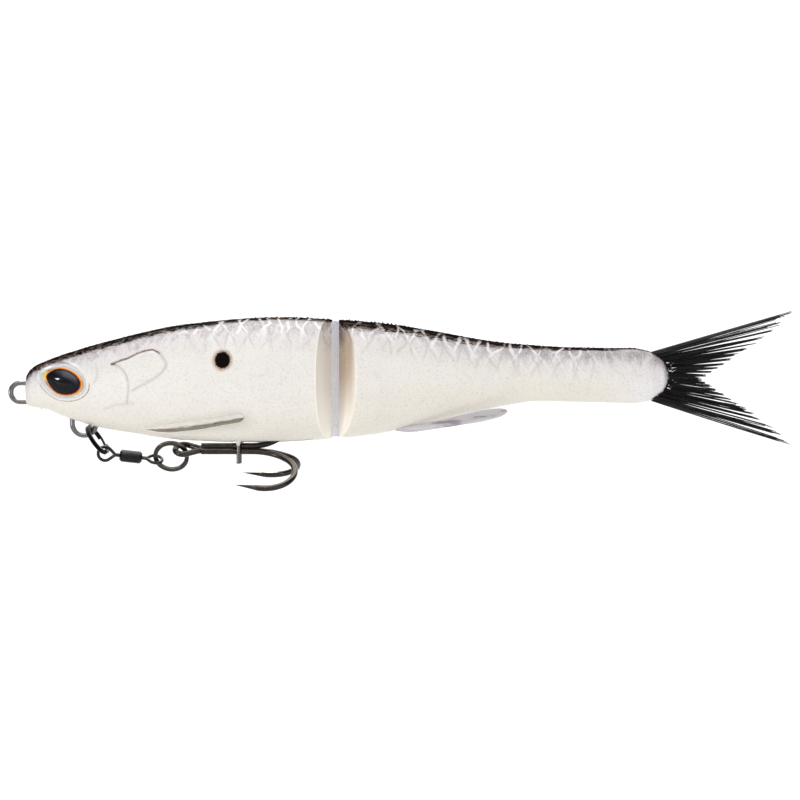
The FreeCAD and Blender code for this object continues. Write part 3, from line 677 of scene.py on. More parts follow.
class SWIMBAIT_OT_front_body(bpy.types.Operator):
    """Builds the front soft body with its gill covers, eye sockets, bevel and hook slot"""

    bl_idname = "swimbait.front_body"
    bl_label = "Front body"

    def execute(self, context):
        settings, eyes = context.scene.swimbait_body, context.scene.swimbait_eye
        body = body_tube(
            "front_body_skin", FRONT_STATIONS, settings.rings, settings.sides, settings.roundness, True, False
        )
        points = points_of(body)
        values = station_values(FRONT_STATIONS, points[:, 0])
        flank = np.abs(points[:, 1]) > FLANK_FROM
        plane = points[:, [0, 2]]
        deep = settings.crease_depth / MM
        lift = parting_flash(points, values[:, 0], values[:, 1], 3)
        gill = [smooth_line(line) for line in (GILL_TOP, GILL_BACK, GILL_FRONT)]
        lines = list(zip(gill, (1.3, 0.9, 0.6), (0.30, 0.50, 0.36))) + [(smooth_line(GILL_LOWER), 0.8, 0.5)]
        lines += [(smooth_line(line), 0.4, 0.45) for line in CHEEK_LINES]
        for line, share, width in lines:
            lift -= flank * deep * share * bell(distance_to_line(plane, line), width)
        outline = np.array(gill[0] + gill[1] + [(26.0, -1.3)])
        lift += flank * 0.22 * inside_share(plane, outline, 1.1)
        lift += 0.03 * ripple(points, 5.0, 11)
        for side in (-1, 1):
            share, height = eye_share(points, side, eyes)
            here = (points[:, 1] * side > 0) & (np.abs(height) < 4)
            rim = bell(share - 1.06, 0.09)
            level = 0.10 - height
            pull = smooth_step(1.24 - share, 0, 0.22)
            inner = smooth_step(1.0 - share, 0, 0.06)
            lift += here * (pull * level * 0.85 + 0.16 * rim - inner * 0.9)
        move_along_normals(body, lift)
        nubs = [bump_nub(side) for side in (-1, 1)]
        carve(body, nubs, "UNION")
        carve(body, [bevel_tool("front_bevel", -1), slot_tool()])
        soften(body, 38)
        paint(body, pearl_material(settings, "pearl_front", -1))
        self.fields(body, eyes, gill)
        claim(body, "soft_body", "front_half", "front_body")
        return {"FINISHED"}

    @staticmethod
    def fields(body, eyes, gill):
        """Stores what the pearl material reads: where the paint, creases and spot lie, and where shade is
        painted along the gill folds, the cheek lines and under the eyes.
        """
        points = points_of(body)
        along = points[:, 0]
        values = station_values(FRONT_STATIONS, along)
        depth = values[:, 0] - points[:, 2]
        wide = np.interp(along, (0, 6, 20, 40, 50, 60, 72), (1.9, 1.7, 1.75, 1.45, 1.0, 0.7, 0.75))
        plane = points[:, [0, 2]]
        flank = np.abs(points[:, 1]) > FLANK_FROM
        crease = bell(distance_to_line(plane, gill[0]), 0.30) * flank
        crease += 0.52 * bell(distance_to_line(plane, gill[2][:26]), 0.30) * flank
        for side in (-1, 1):
            share, height = eye_share(points, side, eyes)
            here = (points[:, 1] * side > 0) & (np.abs(height) < 4)
            # painted shadow: a thin dark line just below each eye's rim, added to the crease lines
            under = smooth_step(3.4 - points[:, 2], 0, 2.0)
            crease += here * under * 0.8 * bell(share - 1.16, 0.045)
        spot = np.hypot((along - SPOT[0]) / SPOT_SIZE[0], (points[:, 2] - SPOT[1]) / SPOT_SIZE[1])
        # painted shade: darker lines along the gill cover's back and lower folds and the cheek lines, where
        # shade falls in the creases
        fold = sum(bell(distance_to_line(plane, line), 0.26) for line in gill[1:])
        fold += sum(0.6 * bell(distance_to_line(plane, smooth_line(line)), 0.3) for line in CHEEK_LINES)
        store(
            body,
            fold=np.clip(fold, 0, 1) * flank,
            stripe=depth / wide,
            depth=depth,
            crease=crease,
            spot=np.where(flank, spot, FAR_FROM_SPOT),
            cool=smooth_step(depth, 9.0, 1.0),
            low=smooth_step(depth / (values[:, 0] - values[:, 1]), 0.50, 1.0),
            fray=0.12 + 0.88 * smooth_step(along, 34, 48),
        )


def inside_share(plane, outline, feather):
    """1 well inside a closed outline, falling to 0 at its edge over the feather, in mm."""
    inside = np.zeros(len(plane), bool)
    x, z = plane[:, 0], plane[:, 1]
    for (x0, z0), (x1, z1) in zip(outline, np.roll(outline, -1, axis=0)):
        crosses = (z0 > z) != (z1 > z)
        if z1 != z0:
            inside ^= crosses & (x < (x1 - x0) * (z - z0) / (z1 - z0) + x0)
    near = distance_to_line(plane, [tuple(p) for p in outline] + [tuple(outline[0])])
    return inside * smooth_step(near, 0, feather)


def bump_nub(side):
    """The small boss on the belly that a prong of the clip leaves through."""
    sides = 20
    points = []
    for z, radius in NUB_PROFILE:
        for step in range(sides):
            turn = 2 * math.pi * step / sides
            x, y = PRONG_X + radius * math.cos(turn), side * PRONG_HALF_GAP + radius * math.sin(turn)
            points.append((x * MM, y * MM, z * MM))
    nub = make_object(f"nub_{side}", points, ring_faces(len(NUB_PROFILE), sides))
    face_outwards(nub)
    return nub


class SWIMBAIT_OT_rear_body(bpy.types.Operator):
    """Builds the rear soft body with its bevel and rounded tail end"""

    bl_idname = "swimbait.rear_body"
    bl_label = "Rear body"

    def execute(self, context):
        settings = context.scene.swimbait_body
        body = body_tube(
            "rear_body_skin", REAR_STATIONS, settings.rings, settings.sides, settings.roundness, False, True
        )
        points = points_of(body)
        values = station_values(REAR_STATIONS, points[:, 0])
        lift = parting_flash(points, values[:, 0], values[:, 1], 21) + 0.03 * ripple(points, 6.0, 31)
        move_along_normals(body, lift)
        carve(body, [bevel_tool("rear_bevel", 1)])
        soften(body, 38)
        paint(body, pearl_material(settings, "pearl_rear", 1))
        points = points_of(body)
        along = points[:, 0]
        values = station_values(REAR_STATIONS, along)
        depth = values[:, 0] - points[:, 2]
        places, widths = (74, 82, 96, 110, 125, 138, 143, 150), (2.3, 2.1, 2.0, 1.5, 0.95, 0.7, 0.3, 0.15)
        wide = np.interp(along, places, widths)
        low = smooth_step(depth / (values[:, 0] - values[:, 1]), 0.35, 0.9)
        store(
            body,
            stripe=depth / wide,
            depth=depth,
            spot=np.full(len(points), FAR_FROM_SPOT),
            cool=np.maximum(smooth_step(depth, 7.0, 1.0), smooth_step(along, 136, 149)),
            low=low * (1 - smooth_step(along, 132, 145)),
            fray=0.9 * (1 - 0.75 * smooth_step(along, 126, 140)),
        )
        claim(body, "soft_body", "rear_half", "rear_body")
        return {"FINISHED"}


def pearl_material(settings, name, side):
    """Pearl soft plastic with an airbrushed back, a sprayed net pattern, glitter and fine specks, with
    painted shade along the folds and under the eyes and painted light on the joint's cut-back face.
    """
    shader = Shader(name)
    streak = shader.noise(1.3, 4.0, 0.65, shader.position((0.35, 1, 1.6)), 0.6)
    grain = shader.noise(3.2, 3.0, 0.75)
    feather = shader.noise(0.75, 3.0, 0.6, shader.position((1, 1, 0.16), tilt=10), 0.4)
    frayed = shader.attribute("fray") * shader.ramp(feather, 0.30, 0.52)
    net = shader.math("MAXIMUM", shader.strokes(3.9, 31), shader.strokes(4.5, -29)) * frayed
    colour = flank_colour(shader, settings)
    colour = bevel_colour(shader, settings, colour, streak, side)
    colour = spray_colour(shader, colour, grain, feather, net, frayed)
    # painted shade in the folds: a darker warm grey along the stored fold lines
    colour = shader.mix(shader.attribute("fold") * 0.62, colour, (0.50, 0.43, 0.40))
    colour, back = back_colour(shader, settings, colour, grain, streak, net)
    # brown along the gill creases, and painted shadow in a thin line under each eye
    brown = shader.ramp(shader.attribute("crease"), 0.30, 0.85) * shader.ramp(streak, 0.3, 0.6, 0.5, 0.95)
    colour = shader.mix(brown, colour, (0.13, 0.062, 0.035))
    colour, dot = spot_colour(shader, colour, grain)
    # the black paint is matt, so it takes away the pearl's gloss and glow
    bare = 1.0 - shader.math("MAXIMUM", back, dot)
    shader.set(
        Base_Color=colour,
        Roughness=shader.ramp(grain, 0.3, 0.7, 0.40, 0.54),
        Specular_IOR_Level=bare * 0.38,
        Subsurface_Weight=bare * 0.30,
        Subsurface_Radius=(1.0, 0.8, 0.6),
        Subsurface_Scale=2.0 * MM,
        Coat_Weight=bare * 0.12,
        Coat_Roughness=0.32,
    )
    return shader.bump(grain * 0.6 + net * 0.2, 0.35, 0.06).material


def spray_colour(shader, colour, grain, feather, net, frayed):
    """Pinkish grey overspray under the back, broken by the pale net and by darker strokes lower down."""
    depth = shader.attribute("depth")
    drift = depth + (feather - 0.5) * 6.5
    spray = shader.ramp(drift, 4.4, 0.6) * 0.76 + shader.ramp(drift, 9.0, 3.0) * 0.17
    spray = spray * (1.0 - net * 0.8) * shader.ramp(grain, 0.32, 0.60, 0.40, 1.0)
    colour = shader.mix(spray, colour, (0.27, 0.225, 0.235))
    veins = shader.math("MAXIMUM", shader.strokes(4.2, -24), shader.strokes(4.0, 26))
    low_strokes = shader.ramp(depth, 9.5, 3.5, 0, 0.42) * veins * frayed
    colour = shader.mix(low_strokes, colour, (0.40, 0.35, 0.35))
    return shader.mix(net * shader.ramp(depth, 7.0, 2.0, 0, 0.32), colour, (0.95, 0.94, 0.95))


def back_colour(shader, settings, colour, grain, streak, net):
    """The airbrushed back and its share: a ragged edge, with brown dashes and pale strokes left in it."""
    stripe = shader.attribute("stripe")
    ragged = stripe + (streak - 0.5) * 1.7 + (grain - 0.5) * 0.8
    bare_strokes = net * shader.ramp(shader.noise(0.45), 0.40, 0.55) * shader.ramp(stripe, 0.0, 0.7, 0.2, 0.8)
    back = shader.ramp(ragged, 1.2, 0.7) * (1.0 - bare_strokes)
    dash = shader.noise(1.5, 3.0, 0.6, shader.position((0.16, 1, 1.3)))
    dash = shader.ramp(dash, 0.50, 0.60) * shader.ramp(stripe, 0.15, 0.6)
    paint_colour = shader.mix(dash * 0.85, tuple(settings.back), (0.17, 0.115, 0.085))
    return shader.mix(back, colour, paint_colour), back


def flank_colour(shader, settings):
    """Cool pearl above, cream below, with clouds, glitter and fine dark specks."""
    colour = shader.mix(shader.attribute("cool"), tuple(settings.pearl), tuple(settings.cool))
    colour = shader.mix(shader.attribute("low") * 0.7, colour, (0.76, 0.715, 0.62))
    cloud = shader.ramp(shader.noise(0.16, 3.0, 0.55), 0.40, 0.72, 0, 0.22)
    colour = shader.mix(cloud, colour, (0.70, 0.655, 0.62))
    colour = shader.mix(shader.ramp(shader.cells(2.1), 0.16, 0.05, 0, 0.6), colour, (0.93, 0.92, 0.94))
    dust = shader.ramp(shader.noise(2.2, 2.0, 0.8), 0.50, 0.68, 0, 0.30)
    colour = shader.mix(dust, colour, (0.42, 0.37, 0.36))
    specks = shader.ramp(shader.cells(1.1), 0.11, 0.05) * shader.ramp(shader.noise(0.6), 0.52, 0.66)
    return shader.mix(specks * 0.7, colour, (0.20, 0.15, 0.13))


def bevel_colour(shader, settings, colour, streak, side):
    """Bright cream on the cut-back face at the joint, partly its own tone and partly painted light for the
    light that scatters into the narrow gap; the rear body's is airbrushed brown towards the back.
    """
    x, y, z = shader.split(shader.position())
    inner, outer, curve = BEVELS[side]
    across = shader.math("ABSOLUTE", y) / BEVEL_HALF_WIDTH
    offset = shader.math("POWER", across, curve) * (outer - inner)
    past = (x - HINGE_X) * side - inner
    face = shader.ramp(past - offset, 0.30, 0.05)
    # partly painted light: the cut-back face is made a brighter cream than the flank to stand in for light
    # scattered into the gap
    colour = shader.mix(face * 0.9, colour, (0.95, 0.91, 0.83))
    if side < 0:
        return colour
    band = shader.ramp(past, 4.6, 2.6) * shader.ramp(streak, 0.2, 0.8, 0.75, 1.0)
    mask = face * band * shader.ramp(z, -9.0, 8.0)
    colour = shader.mix(mask * 0.88, colour, (0.40, 0.26, 0.15))
    top = shader.ramp(z, 9.0, 14.0) * shader.ramp(past, 2.2, 0.6)
    return shader.mix(top * face, colour, tuple(settings.umber))


def spot_colour(shader, colour, grain):
    """The black shoulder spot in its soft brown ring; also gives the spot's share."""
    spot = shader.attribute("spot") + (grain - 0.5) * 0.6
    colour = shader.mix(shader.ramp(spot, 1.45, 0.95, 0, 0.7), colour, (0.36, 0.17, 0.07))
    dot = shader.ramp(spot, 1.04, 0.84)
    return shader.mix(dot, colour, (0.006, 0.005, 0.005)), dot


# ---------------------------------------------------------------- eyes


class SWIMBAIT_OT_eyes(bpy.types.Operator):
    """Builds both eyes: a printed dome and the clear rim round it"""

    bl_idname = "swimbait.eyes"
    bl_label = "Eyes"

    def execute(self, context):
        settings = context.scene.swimbait_eye
        print_material, rim_material = eye_print_material(), eye_rim_material()
        for side, suffix in ((-1, "left"), (1, "right")):
            dome = paint(self.dome(settings, side, f"eye_dome_{suffix}"), print_material)
            claim(dome, "eye_foil", "front_half", f"eye_foil_{suffix}")
            rim = paint(self.rim(settings, side, f"eye_rim_{suffix}"), rim_material)
            claim(rim, "eye_lens", "front_half", f"eye_lens_{suffix}")
        return {"FINISHED"}

    @staticmethod
    def dome(settings, side, name):
        """A glossy dome in the drop outline, with its share of the outline stored for the print."""
        rings, sides = 40, 128
        outline = eye_outline(settings, settings.foil_share, sides)
        matrix = eye_matrix(side)
        points, shares, flat = [], [], []
        for ring in range(rings + 1):
            share = ring / rings
            height = settings.dome / MM * (1 - share**2.3) * 0.9 + 0.05
            for u, v in outline * share if ring else outline[:1] * 0:
                points.append(matrix @ (Vector((u, v, height)) * MM))
                shares.append(share)
                flat.append((u, v))
        base = len(points)
        for u, v in outline:
            points.append(matrix @ (Vector((u, v, -0.5)) * MM))
            shares.append(1.0)
            flat.append((u, v))
        faces = [(0, 1 + step, 1 + (step + 1) % sides) for step in range(sides)]
        faces += walls(rings + 1, sides, 1)
        faces.append([base + step for step in range(sides)][::-1])
        dome = make_object(name, points, faces)
        store(dome, share=shares, eye_x=[p[0] for p in flat], eye_y=[p[1] for p in flat])
        face_outwards(dome)
        return soften(dome, 60)

    @staticmethod
    def rim(settings, side, name):
        """The clear band that stands round the printed dome."""
        sides, profile = 128, 14
        matrix = eye_matrix(side)
        centre_line = eye_outline(settings, (1.0 + settings.foil_share) / 2 + 0.03, sides)
        points, faces = [], []
        for step in range(sides):
            before, after = centre_line[step - 1], centre_line[(step + 1) % sides]
            along = (after - before) / np.linalg.norm(after - before)
            out = np.array((along[1], -along[0]))
            for turn in range(profile):
                angle = 2 * math.pi * turn / profile
                u, v = centre_line[step] + out * 0.52 * math.cos(angle)
                points.append(matrix @ (Vector((u, v, -0.02 + 0.38 * math.sin(angle))) * MM))
        for step in range(sides):
            for turn in range(profile):
                a, b = step * profile + turn, step * profile + (turn + 1) % profile
                following = ((step + 1) % sides) * profile
                faces.append((a, b, following + (turn + 1) % profile, following + turn))
        rim = make_object(name, points, faces)
        face_outwards(rim)
        return rim


def eye_print_material():
    """A black pupil in a ring of dark red, orange and gold foil, under a clear coat, with a painted grey sky
    reflection over the upper pupil.
    """
    shader = Shader("eye_print")
    share, across, upright = (shader.attribute(n) for n in ("share", "eye_x", "eye_y"))
    grain = shader.noise(3.5, 3.0)
    # the pupil sits back from the front tip
    edge = share + (grain - 0.5) * 0.05 + shader.ramp(across, -5.0, -1.8, 0.13, 0.0)
    ramp = shader.node("ShaderNodeValToRGB")
    stops = (
        (0.0, (0.004, 0.004, 0.006)),
        (0.855, (0.004, 0.004, 0.006)),
        (0.875, (0.16, 0.018, 0.006)),
        (0.905, (0.72, 0.13, 0.015)),
        (0.945, (0.95, 0.40, 0.05)),
        (0.972, (0.80, 0.55, 0.25)),
        (1.0, (0.30, 0.22, 0.18)),
    )
    elements = ramp.color_ramp.elements
    elements[0].position, elements[0].color = stops[0][0], (*stops[0][1], 1)
    elements[1].position, elements[1].color = stops[-1][0], (*stops[-1][1], 1)
    for place, colour in stops[1:-1]:
        made = elements.new(place)
        made.color = (*colour, 1)
    shader.feed(ramp.inputs["Fac"], edge)
    colour = ramp.outputs["Color"]
    tip = shader.ramp(across, -3.9, -4.5) * shader.ramp(edge, 0.90, 0.97)
    colour = shader.mix(tip * 0.9, colour, (1.0, 0.80, 0.20))
    # painted reflection: a soft grey gradient over the upper part of the pupil, standing in for the reflected
    # sky
    painted_sky_reflection = shader.ramp(upright + across * 0.28, 0.7, 3.0) * shader.ramp(edge, 0.86, 0.70)
    colour = shader.mix(painted_sky_reflection * 0.55, colour, (0.16, 0.165, 0.20))
    shader.set(
        Base_Color=colour,
        Metallic=shader.ramp(edge, 0.87, 0.91) * 0.3,
        Roughness=shader.ramp(grain, 0.3, 0.7, 0.16, 0.3),
        Specular_IOR_Level=0.04,
        Coat_Weight=0.38,
        Coat_Roughness=0.02,
        Coat_IOR=1.45,
    )
    return shader.material


def eye_rim_material():
    """Milky clear resin."""
    shader = Shader("eye_rim")
    cloud = shader.noise(1.1, 2.0)
    shader.set(
        Base_Color=shader.mix(cloud, (0.92, 0.91, 0.92), (0.74, 0.73, 0.76)),
        Roughness=0.07,
        IOR=1.5,
        Transmission_Weight=0.35,
        Coat_Weight=0.8,
        Coat_Roughness=0.03,
    )
    return shader.bump(cloud, 0.1, 0.05).material


# ---------------------------------------------------------------- fins


def fin_blade(name, rows, sides=20):
    """A closed blade through rows of (middle, half chord vector, half thickness) in mm."""
    points = []
    for middle, chord, thick in rows:
        middle, chord = Vector(middle), Vector(chord)
        along = Vector((1, 0, 0.08)).normalized()
        normal = chord.cross(along).normalized()
        for step in range(sides):
            turn = 2 * math.pi * step / sides
            offset = chord * math.cos(turn) + normal * thick * math.sin(turn)
            points.append((middle + offset) * MM)
    blade = make_object(name, points, ring_faces(len(rows), sides))
    face_outwards(blade)
    return blade


def fin_rows(side, low, high, out_low, out_high, thick, tip_round):
    """Rows for a fin from its lower outer edge line and its upper root line, both as (x, z) points."""
    count = 26
    rows = []
    for step in range(count):
        share = step / (count - 1)
        share = share * share * (3 - 2 * share) * 0.35 + share * 0.65
        x = low[0][0] + (low[-1][0] - low[0][0]) * share
        z_low, z_high = np.interp(x, *zip(*low)), np.interp(x, *zip(*high))
        y_low = np.interp(share, *out_low)
        y_high = np.interp(share, *out_high)
        near_end = min(1.0, (1 - share) / tip_round)
        swell = math.sqrt(max(0.02, 1 - (1 - near_end) ** 2))
        near_start = min(1.0, share / 0.12 + 0.12)
        middle = (x, side * (y_low + y_high) / 2, (z_low + z_high) / 2)
        chord = np.array((0, side * (y_low - y_high) / 2, (z_low - z_high) / 2)) * swell * near_start
        if np.linalg.norm(chord) < 0.12:
            chord = chord / np.linalg.norm(chord) * 0.12
        rows.append((middle, tuple(chord), thick * swell * (0.35 + 0.65 * near_start)))
    return rows


class SWIMBAIT_OT_fins(bpy.types.Operator):
    """Builds the pectoral fins and the clear rear belly fins"""

    bl_idname = "swimbait.fins"
    bl_label = "Fins"

    def execute(self, context):
        pearl = fin_material("pectoral_fin", (0.76, 0.735, 0.69), (0.17, 0.14, 0.10))
        clear = clear_fin_material()
        for side, suffix in ((-1, "left"), (1, "right")):
            fin = self.finish(fin_blade(f"pectoral_{suffix}", fin_rows(side, **PECTORAL)), pearl)
            claim(fin, "soft_fin", "front_half", f"pectoral_fin_{suffix}")
            points = points_of(fin)
            low, high = (np.interp(points[:, 0], *zip(*PECTORAL[edge])) for edge in ("low", "high"))
            store(fin, rise=(points[:, 2] - low) / (high - low))
            fin = self.finish(fin_blade(f"pelvic_{suffix}", fin_rows(side, **PELVIC)), clear)
            claim(fin, "clear_fin", "rear_half", f"pelvic_fin_{suffix}")
        return {"FINISHED"}

    @staticmethod
    def finish(fin, material):
        smooth = fin.modifiers.new("smooth", "SUBSURF")
        smooth.levels = smooth.render_levels = 2
        return paint(bake_modifiers(fin), material)


def fin_material(name, pale, smoke_and_shade):
    """Soft plastic, pearl on the upper face and dark smoky brown along the lower edge: partly the bare smoked
    plastic, partly painted shade on the underside.
    """
    shader = Shader(name)
    grain = shader.noise(1.6, 3.0, 0.6, shader.position((0.25, 1, 1)))
    rise = shader.attribute("rise") + (grain - 0.5) * 0.35
    # the lower band is partly the unpainted smoked plastic and partly painted shade where the fin's underside
    # turns from the light
    colour = shader.mix(shader.ramp(rise, 0.62, 0.30), pale, smoke_and_shade)
    shader.set(
        Base_Color=colour,
        Roughness=shader.ramp(grain, 0.3, 0.7, 0.22, 0.36),
        Subsurface_Weight=0.15,
        Subsurface_Scale=0.8 * MM,
        Coat_Weight=0.5,
        Coat_Roughness=0.12,
    )
    return shader.bump(grain, 0.2, 0.08).material


def clear_fin_material():
    """Translucent grey soft plastic with a darker streak where the colour pooled."""
    shader = Shader("clear_fin")
    streak = shader.noise(0.55, 3.0, 0.6, shader.position((0.22, 1.2, 1.2)))
    colour = shader.mix(shader.ramp(streak, 0.50, 0.66), (0.60, 0.60, 0.625), (0.30, 0.30, 0.34))
    shader.set(
        Base_Color=colour,
        Roughness=0.18,
        Transmission_Weight=0.25,
        IOR=1.42,
        Subsurface_Weight=0.25,
        Subsurface_Scale=1.5 * MM,
        Coat_Weight=0.6,
        Coat_Roughness=0.08,
    )
    return shader.bump(streak, 0.25, 0.1).material


# ---------------------------------------------------------------- brush tail


class Tree(NodeBuilder):
    """A small builder for one Geometry Nodes tree with named inputs."""

    def __init__(self, name, **inputs):
        self.tree = bpy.data.node_groups.new(name, "GeometryNodeTree")
        self.tree.interface.new_socket("Geometry", in_out="OUTPUT", socket_type="NodeSocketGeometry")
        self.sockets = {}
        for label, (kind, value) in inputs.items():
            socket = self.tree.interface.new_socket(label, in_out="INPUT", socket_type=f"NodeSocket{kind}")
            if value is not None:
                socket.default_value = value
            self.sockets[label] = socket.identifier
        self.inputs = self.tree.nodes.new("NodeGroupInput")
        self.output = self.tree.nodes.new("NodeGroupOutput")

    def given(self, label):
        return Value(self, self.inputs.outputs[label])

    def vector(self, x, y, z):
        return self.node("ShaderNodeCombineXYZ", X=x, Y=y, Z=z).outputs[0]

    def vector_math(self, operation, first, second=None, scale=None):
        made = self.node("ShaderNodeVectorMath", {"operation": operation})
        self.feed(made.inputs[0], first)
        if second is not None:
            self.feed(made.inputs[1], second)
        if scale is not None:
            self.feed(made.inputs["Scale"], scale)
        return made.outputs[0]

    def random(self, low, high, salt):
        """A random number for each element, from the tree's seed."""
        made = self.node("FunctionNodeRandomValue", {"data_type": "FLOAT"}, Seed=self.given("Seed") + salt)
        self.feed(made.inputs[2], low)
        self.feed(made.inputs[3], high)
        return Value(self, made.outputs[1])

    def place(self):
        """Where each point is now, as three numbers."""
        return self.split(self.node("GeometryNodeInputPosition"))

    def kept(self, name):
        """Reads back a vector that was stored on the points."""
        made = self.node("GeometryNodeInputNamedAttribute", {"data_type": "FLOAT_VECTOR"}, Name=name)
        return made.outputs["Attribute"]

    def plant(self, points, end, count):
        """A straight line from the origin to end, cut into count points and copied to every given point."""
        line = self.node("GeometryNodeCurvePrimitiveLine", Start=(0, 0, 0), End=end)
        divided = self.node("GeometryNodeResampleCurve", Curve=line, Count=count)
        planted = self.node("GeometryNodeInstanceOnPoints", Points=points, Instance=divided)
        return self.node("GeometryNodeRealizeInstances", Geometry=planted)

    def tube(self, curve, radius, sides, taper=None):
        """Sweeps a round section along a curve; taper is a share of the radius for each point."""
        circle = self.node("GeometryNodeCurvePrimitiveCircle", Resolution=sides, Radius=radius)
        sweep = self.node("GeometryNodeCurveToMesh", Profile_Curve=circle, Fill_Caps=True)
        if taper is not None:
            curve = self.node("GeometryNodeSetCurveRadius", Curve=curve, Radius=taper)
            if "Scale" in sweep.inputs:
                self.feed(sweep.inputs["Scale"], taper)
        self.feed(sweep.inputs["Curve"], curve)
        return sweep

    def finish(self, geometry):
        realized = self.node("GeometryNodeRealizeInstances", Geometry=geometry)
        shaded = self.node("GeometryNodeSetMaterial", Geometry=realized, Material=self.given("Material"))
        self.feed(self.output.inputs[0], shaded)

    def grow(self, name, **values):
        """Runs the tree on an empty mesh and returns the result as a plain, smooth mesh object."""
        thing = bpy.data.objects.new(name, bpy.data.meshes.new(name))
        bpy.context.scene.collection.objects.link(thing)
        grower = thing.modifiers.new("grow", "NODES")
        grower.node_group = self.tree
        for label, value in values.items():
            grower[self.sockets[label]] = value
        bpy.context.view_layer.update()
        bake_modifiers(thing)
        for face in thing.data.polygons:
            face.use_smooth = True
        return thing


# The fork of the brush in mm: (straight spread, extra flick at the outer filaments) above and below.
FORK_UP = (14.4, 2.3)
FORK_DOWN = (-14.1, -2.1)
NOTCH_X = 158.6
FORK_LENGTH = 22.0
BRUSH_MIDDLE = 3.0
CLUMPS = 13.0
CLUMPING = 0.62


def bristle_tree():
    """Filaments that fan from the rounded tail end to a forked trailing edge."""
    tree = Tree(
        "bristles",
        Count=("Int", 100),
        Thickness=("Float", 0.0002),
        Seed=("Int", 0),
        Material=("Material", None),
    )
    source = tree.node("GeometryNodeMeshLine", Count=tree.given("Count"), Offset=(0, 0, 0))
    spread = tree.random(-1.0, 1.0, 1)
    # tips gather into clumps, so light shows between them
    clump = (tree.math("FLOOR", spread * CLUMPS) + 0.5) / CLUMPS
    gathered = clump * CLUMPING + spread * (1 - CLUMPING)
    reach = tree.math("ABSOLUTE", gathered)
    is_up = tree.math("GREATER_THAN", gathered, 0.0)
    length = tree.random(0.90, 1.0, 2)
    stray = tree.random(-1.0, 1.0, 3)
    level = tree.random(-1.0, 1.0, 4)
    fork = tree.math("POWER", reach, 1.3)
    flick = tree.math("POWER", reach, 8.0)
    upper, lower = (fork * (wide * MM) + flick * (more * MM) for wide, more in (FORK_UP, FORK_DOWN))
    rise = upper * is_up + lower * (1.0 - is_up)
    root = tree.vector(
        (1.0 - spread * spread) * (2.6 * MM) + 147.0 * MM,
        level * (1.15 * MM),
        spread * (5.5 * MM) + stray * (0.3 * MM) + 3.7 * MM,
    )
    tip = tree.vector(
        fork * (FORK_LENGTH * MM) + NOTCH_X * MM,
        tree.random(-1.0, 1.0, 5) * (0.85 * MM),
        rise + (stray * (0.18 * MM) + BRUSH_MIDDLE * MM),
    )
    sway = tree.vector(length, tree.random(-0.7 * MM, 0.7 * MM, 6), tree.random(-0.22 * MM, 0.22 * MM, 7))
    for name, value in (("root", root), ("tip", tip), ("odd", sway)):
        source = tree.node(
            "GeometryNodeStoreNamedAttribute",
            {"data_type": "FLOAT_VECTOR", "domain": "POINT"},
            Geometry=source,
            Name=name,
            Value=value,
        )
    filaments = tree.plant(source, (1, 0, 0), 7)
    length, sideways, upwards = tree.split(tree.kept("odd"))
    share = tree.place()[0] * length
    run = tree.node("ShaderNodeMix", {"data_type": "VECTOR", "clamp_factor": False})
    for index, value in ((0, share), (4, tree.kept("root")), (5, tree.kept("tip"))):
        tree.feed(run.inputs[index], value)
    arch = share * (1.0 - share) * 4.0
    bent = tree.vector_math("ADD", run.outputs[1], tree.vector(0.0, arch * sideways, arch * upwards))
    moved = tree.node("GeometryNodeSetPosition", Geometry=filaments, Position=bent)
    along = Value(tree, tree.node("GeometryNodeSplineParameter").outputs[0])
    taper = 1.0 - tree.math("POWER", along, 2.0) * 0.35
    tree.finish(tree.tube(moved, tree.given("Thickness") * 0.5, 4, taper))
    return tree


class SWIMBAIT_OT_tail(bpy.types.Operator):
    """Grows the forked bristle tail and the torn resin at its root"""

    bl_idname = "swimbait.tail"
    bl_label = "Bristle tail"

    def execute(self, context):
        settings = context.scene.swimbait_tail
        tail = bristle_tree().grow(
            "bristle_tail",
            Count=settings.bristles,
            Thickness=settings.thickness,
            Seed=settings.seed,
            Material=bristle_material(),
        )
        claim(tail, "bristle", "rear_half", "tail_bristles")
        claim(self.fray(settings.seed), "bond_resin", "rear_half", "tail_bond_plug")
        return {"FINISHED"}

    @staticmethod
    def fray(seed):
        """White resin splinters between the bristles where the tail end was torn from its mould."""
        draw = np.random.default_rng(seed)
        points, faces = [], []
        for _ in range(46):
            start = np.array((draw.uniform(150.4, 152.0), draw.uniform(-1.9, 1.9), draw.uniform(1.0, 7.0)))
            run = np.array((draw.uniform(-0.3, 1.3), draw.uniform(-0.7, 0.7), draw.uniform(-1.0, 1.0)))
            thick = draw.uniform(0.08, 0.19)
            base = len(points)
            for turn in (0.0, 2.1, 4.2):
                round_it = np.array((0.4 * math.cos(turn), math.sin(turn), math.cos(turn)))
                points.append(start + thick * round_it)
            points.append(start + run)
            faces += [(base, base + 1, base + 2), (base, base + 3, base + 1), (base + 1, base + 3, base + 2)]
            faces.append((base + 2, base + 3, base))
        splinters = make_object("resin_fray", [p * MM for p in points], faces, smooth=False)
        face_outwards(splinters)
        shader = Shader("torn_resin")
        rough = shader.ramp(shader.noise(4.0), 0.3, 0.7, 0.35, 0.6)
        shader.set(Base_Color=(0.93, 0.92, 0.94), Roughness=rough)
        return paint(splinters, shader.material)


def bristle_material():
    """Black filament with a soft gloss, and painted sheen: lighter grey streaks along some of the hairs."""
    shader = Shader("bristle")
    hair = shader.noise(2.2, 1.0, 0.5, shader.position((0.06, 1, 1)))
    # painted sheen: streaks along the filaments are mixed towards a lighter grey
    shine = shader.ramp(hair, 0.60, 0.80, 0, 0.5)
    shader.set(
        Base_Color=shader.mix(shine, (0.006, 0.006, 0.007), (0.10, 0.095, 0.095)),
        Roughness=shader.ramp(hair, 0.3, 0.7, 0.30, 0.45),
        Specular_IOR_Level=0.25,
    )
    return shader.bump(hair, 0.1, 0.03).material


# ---------------------------------------------------------------- cloth hinge


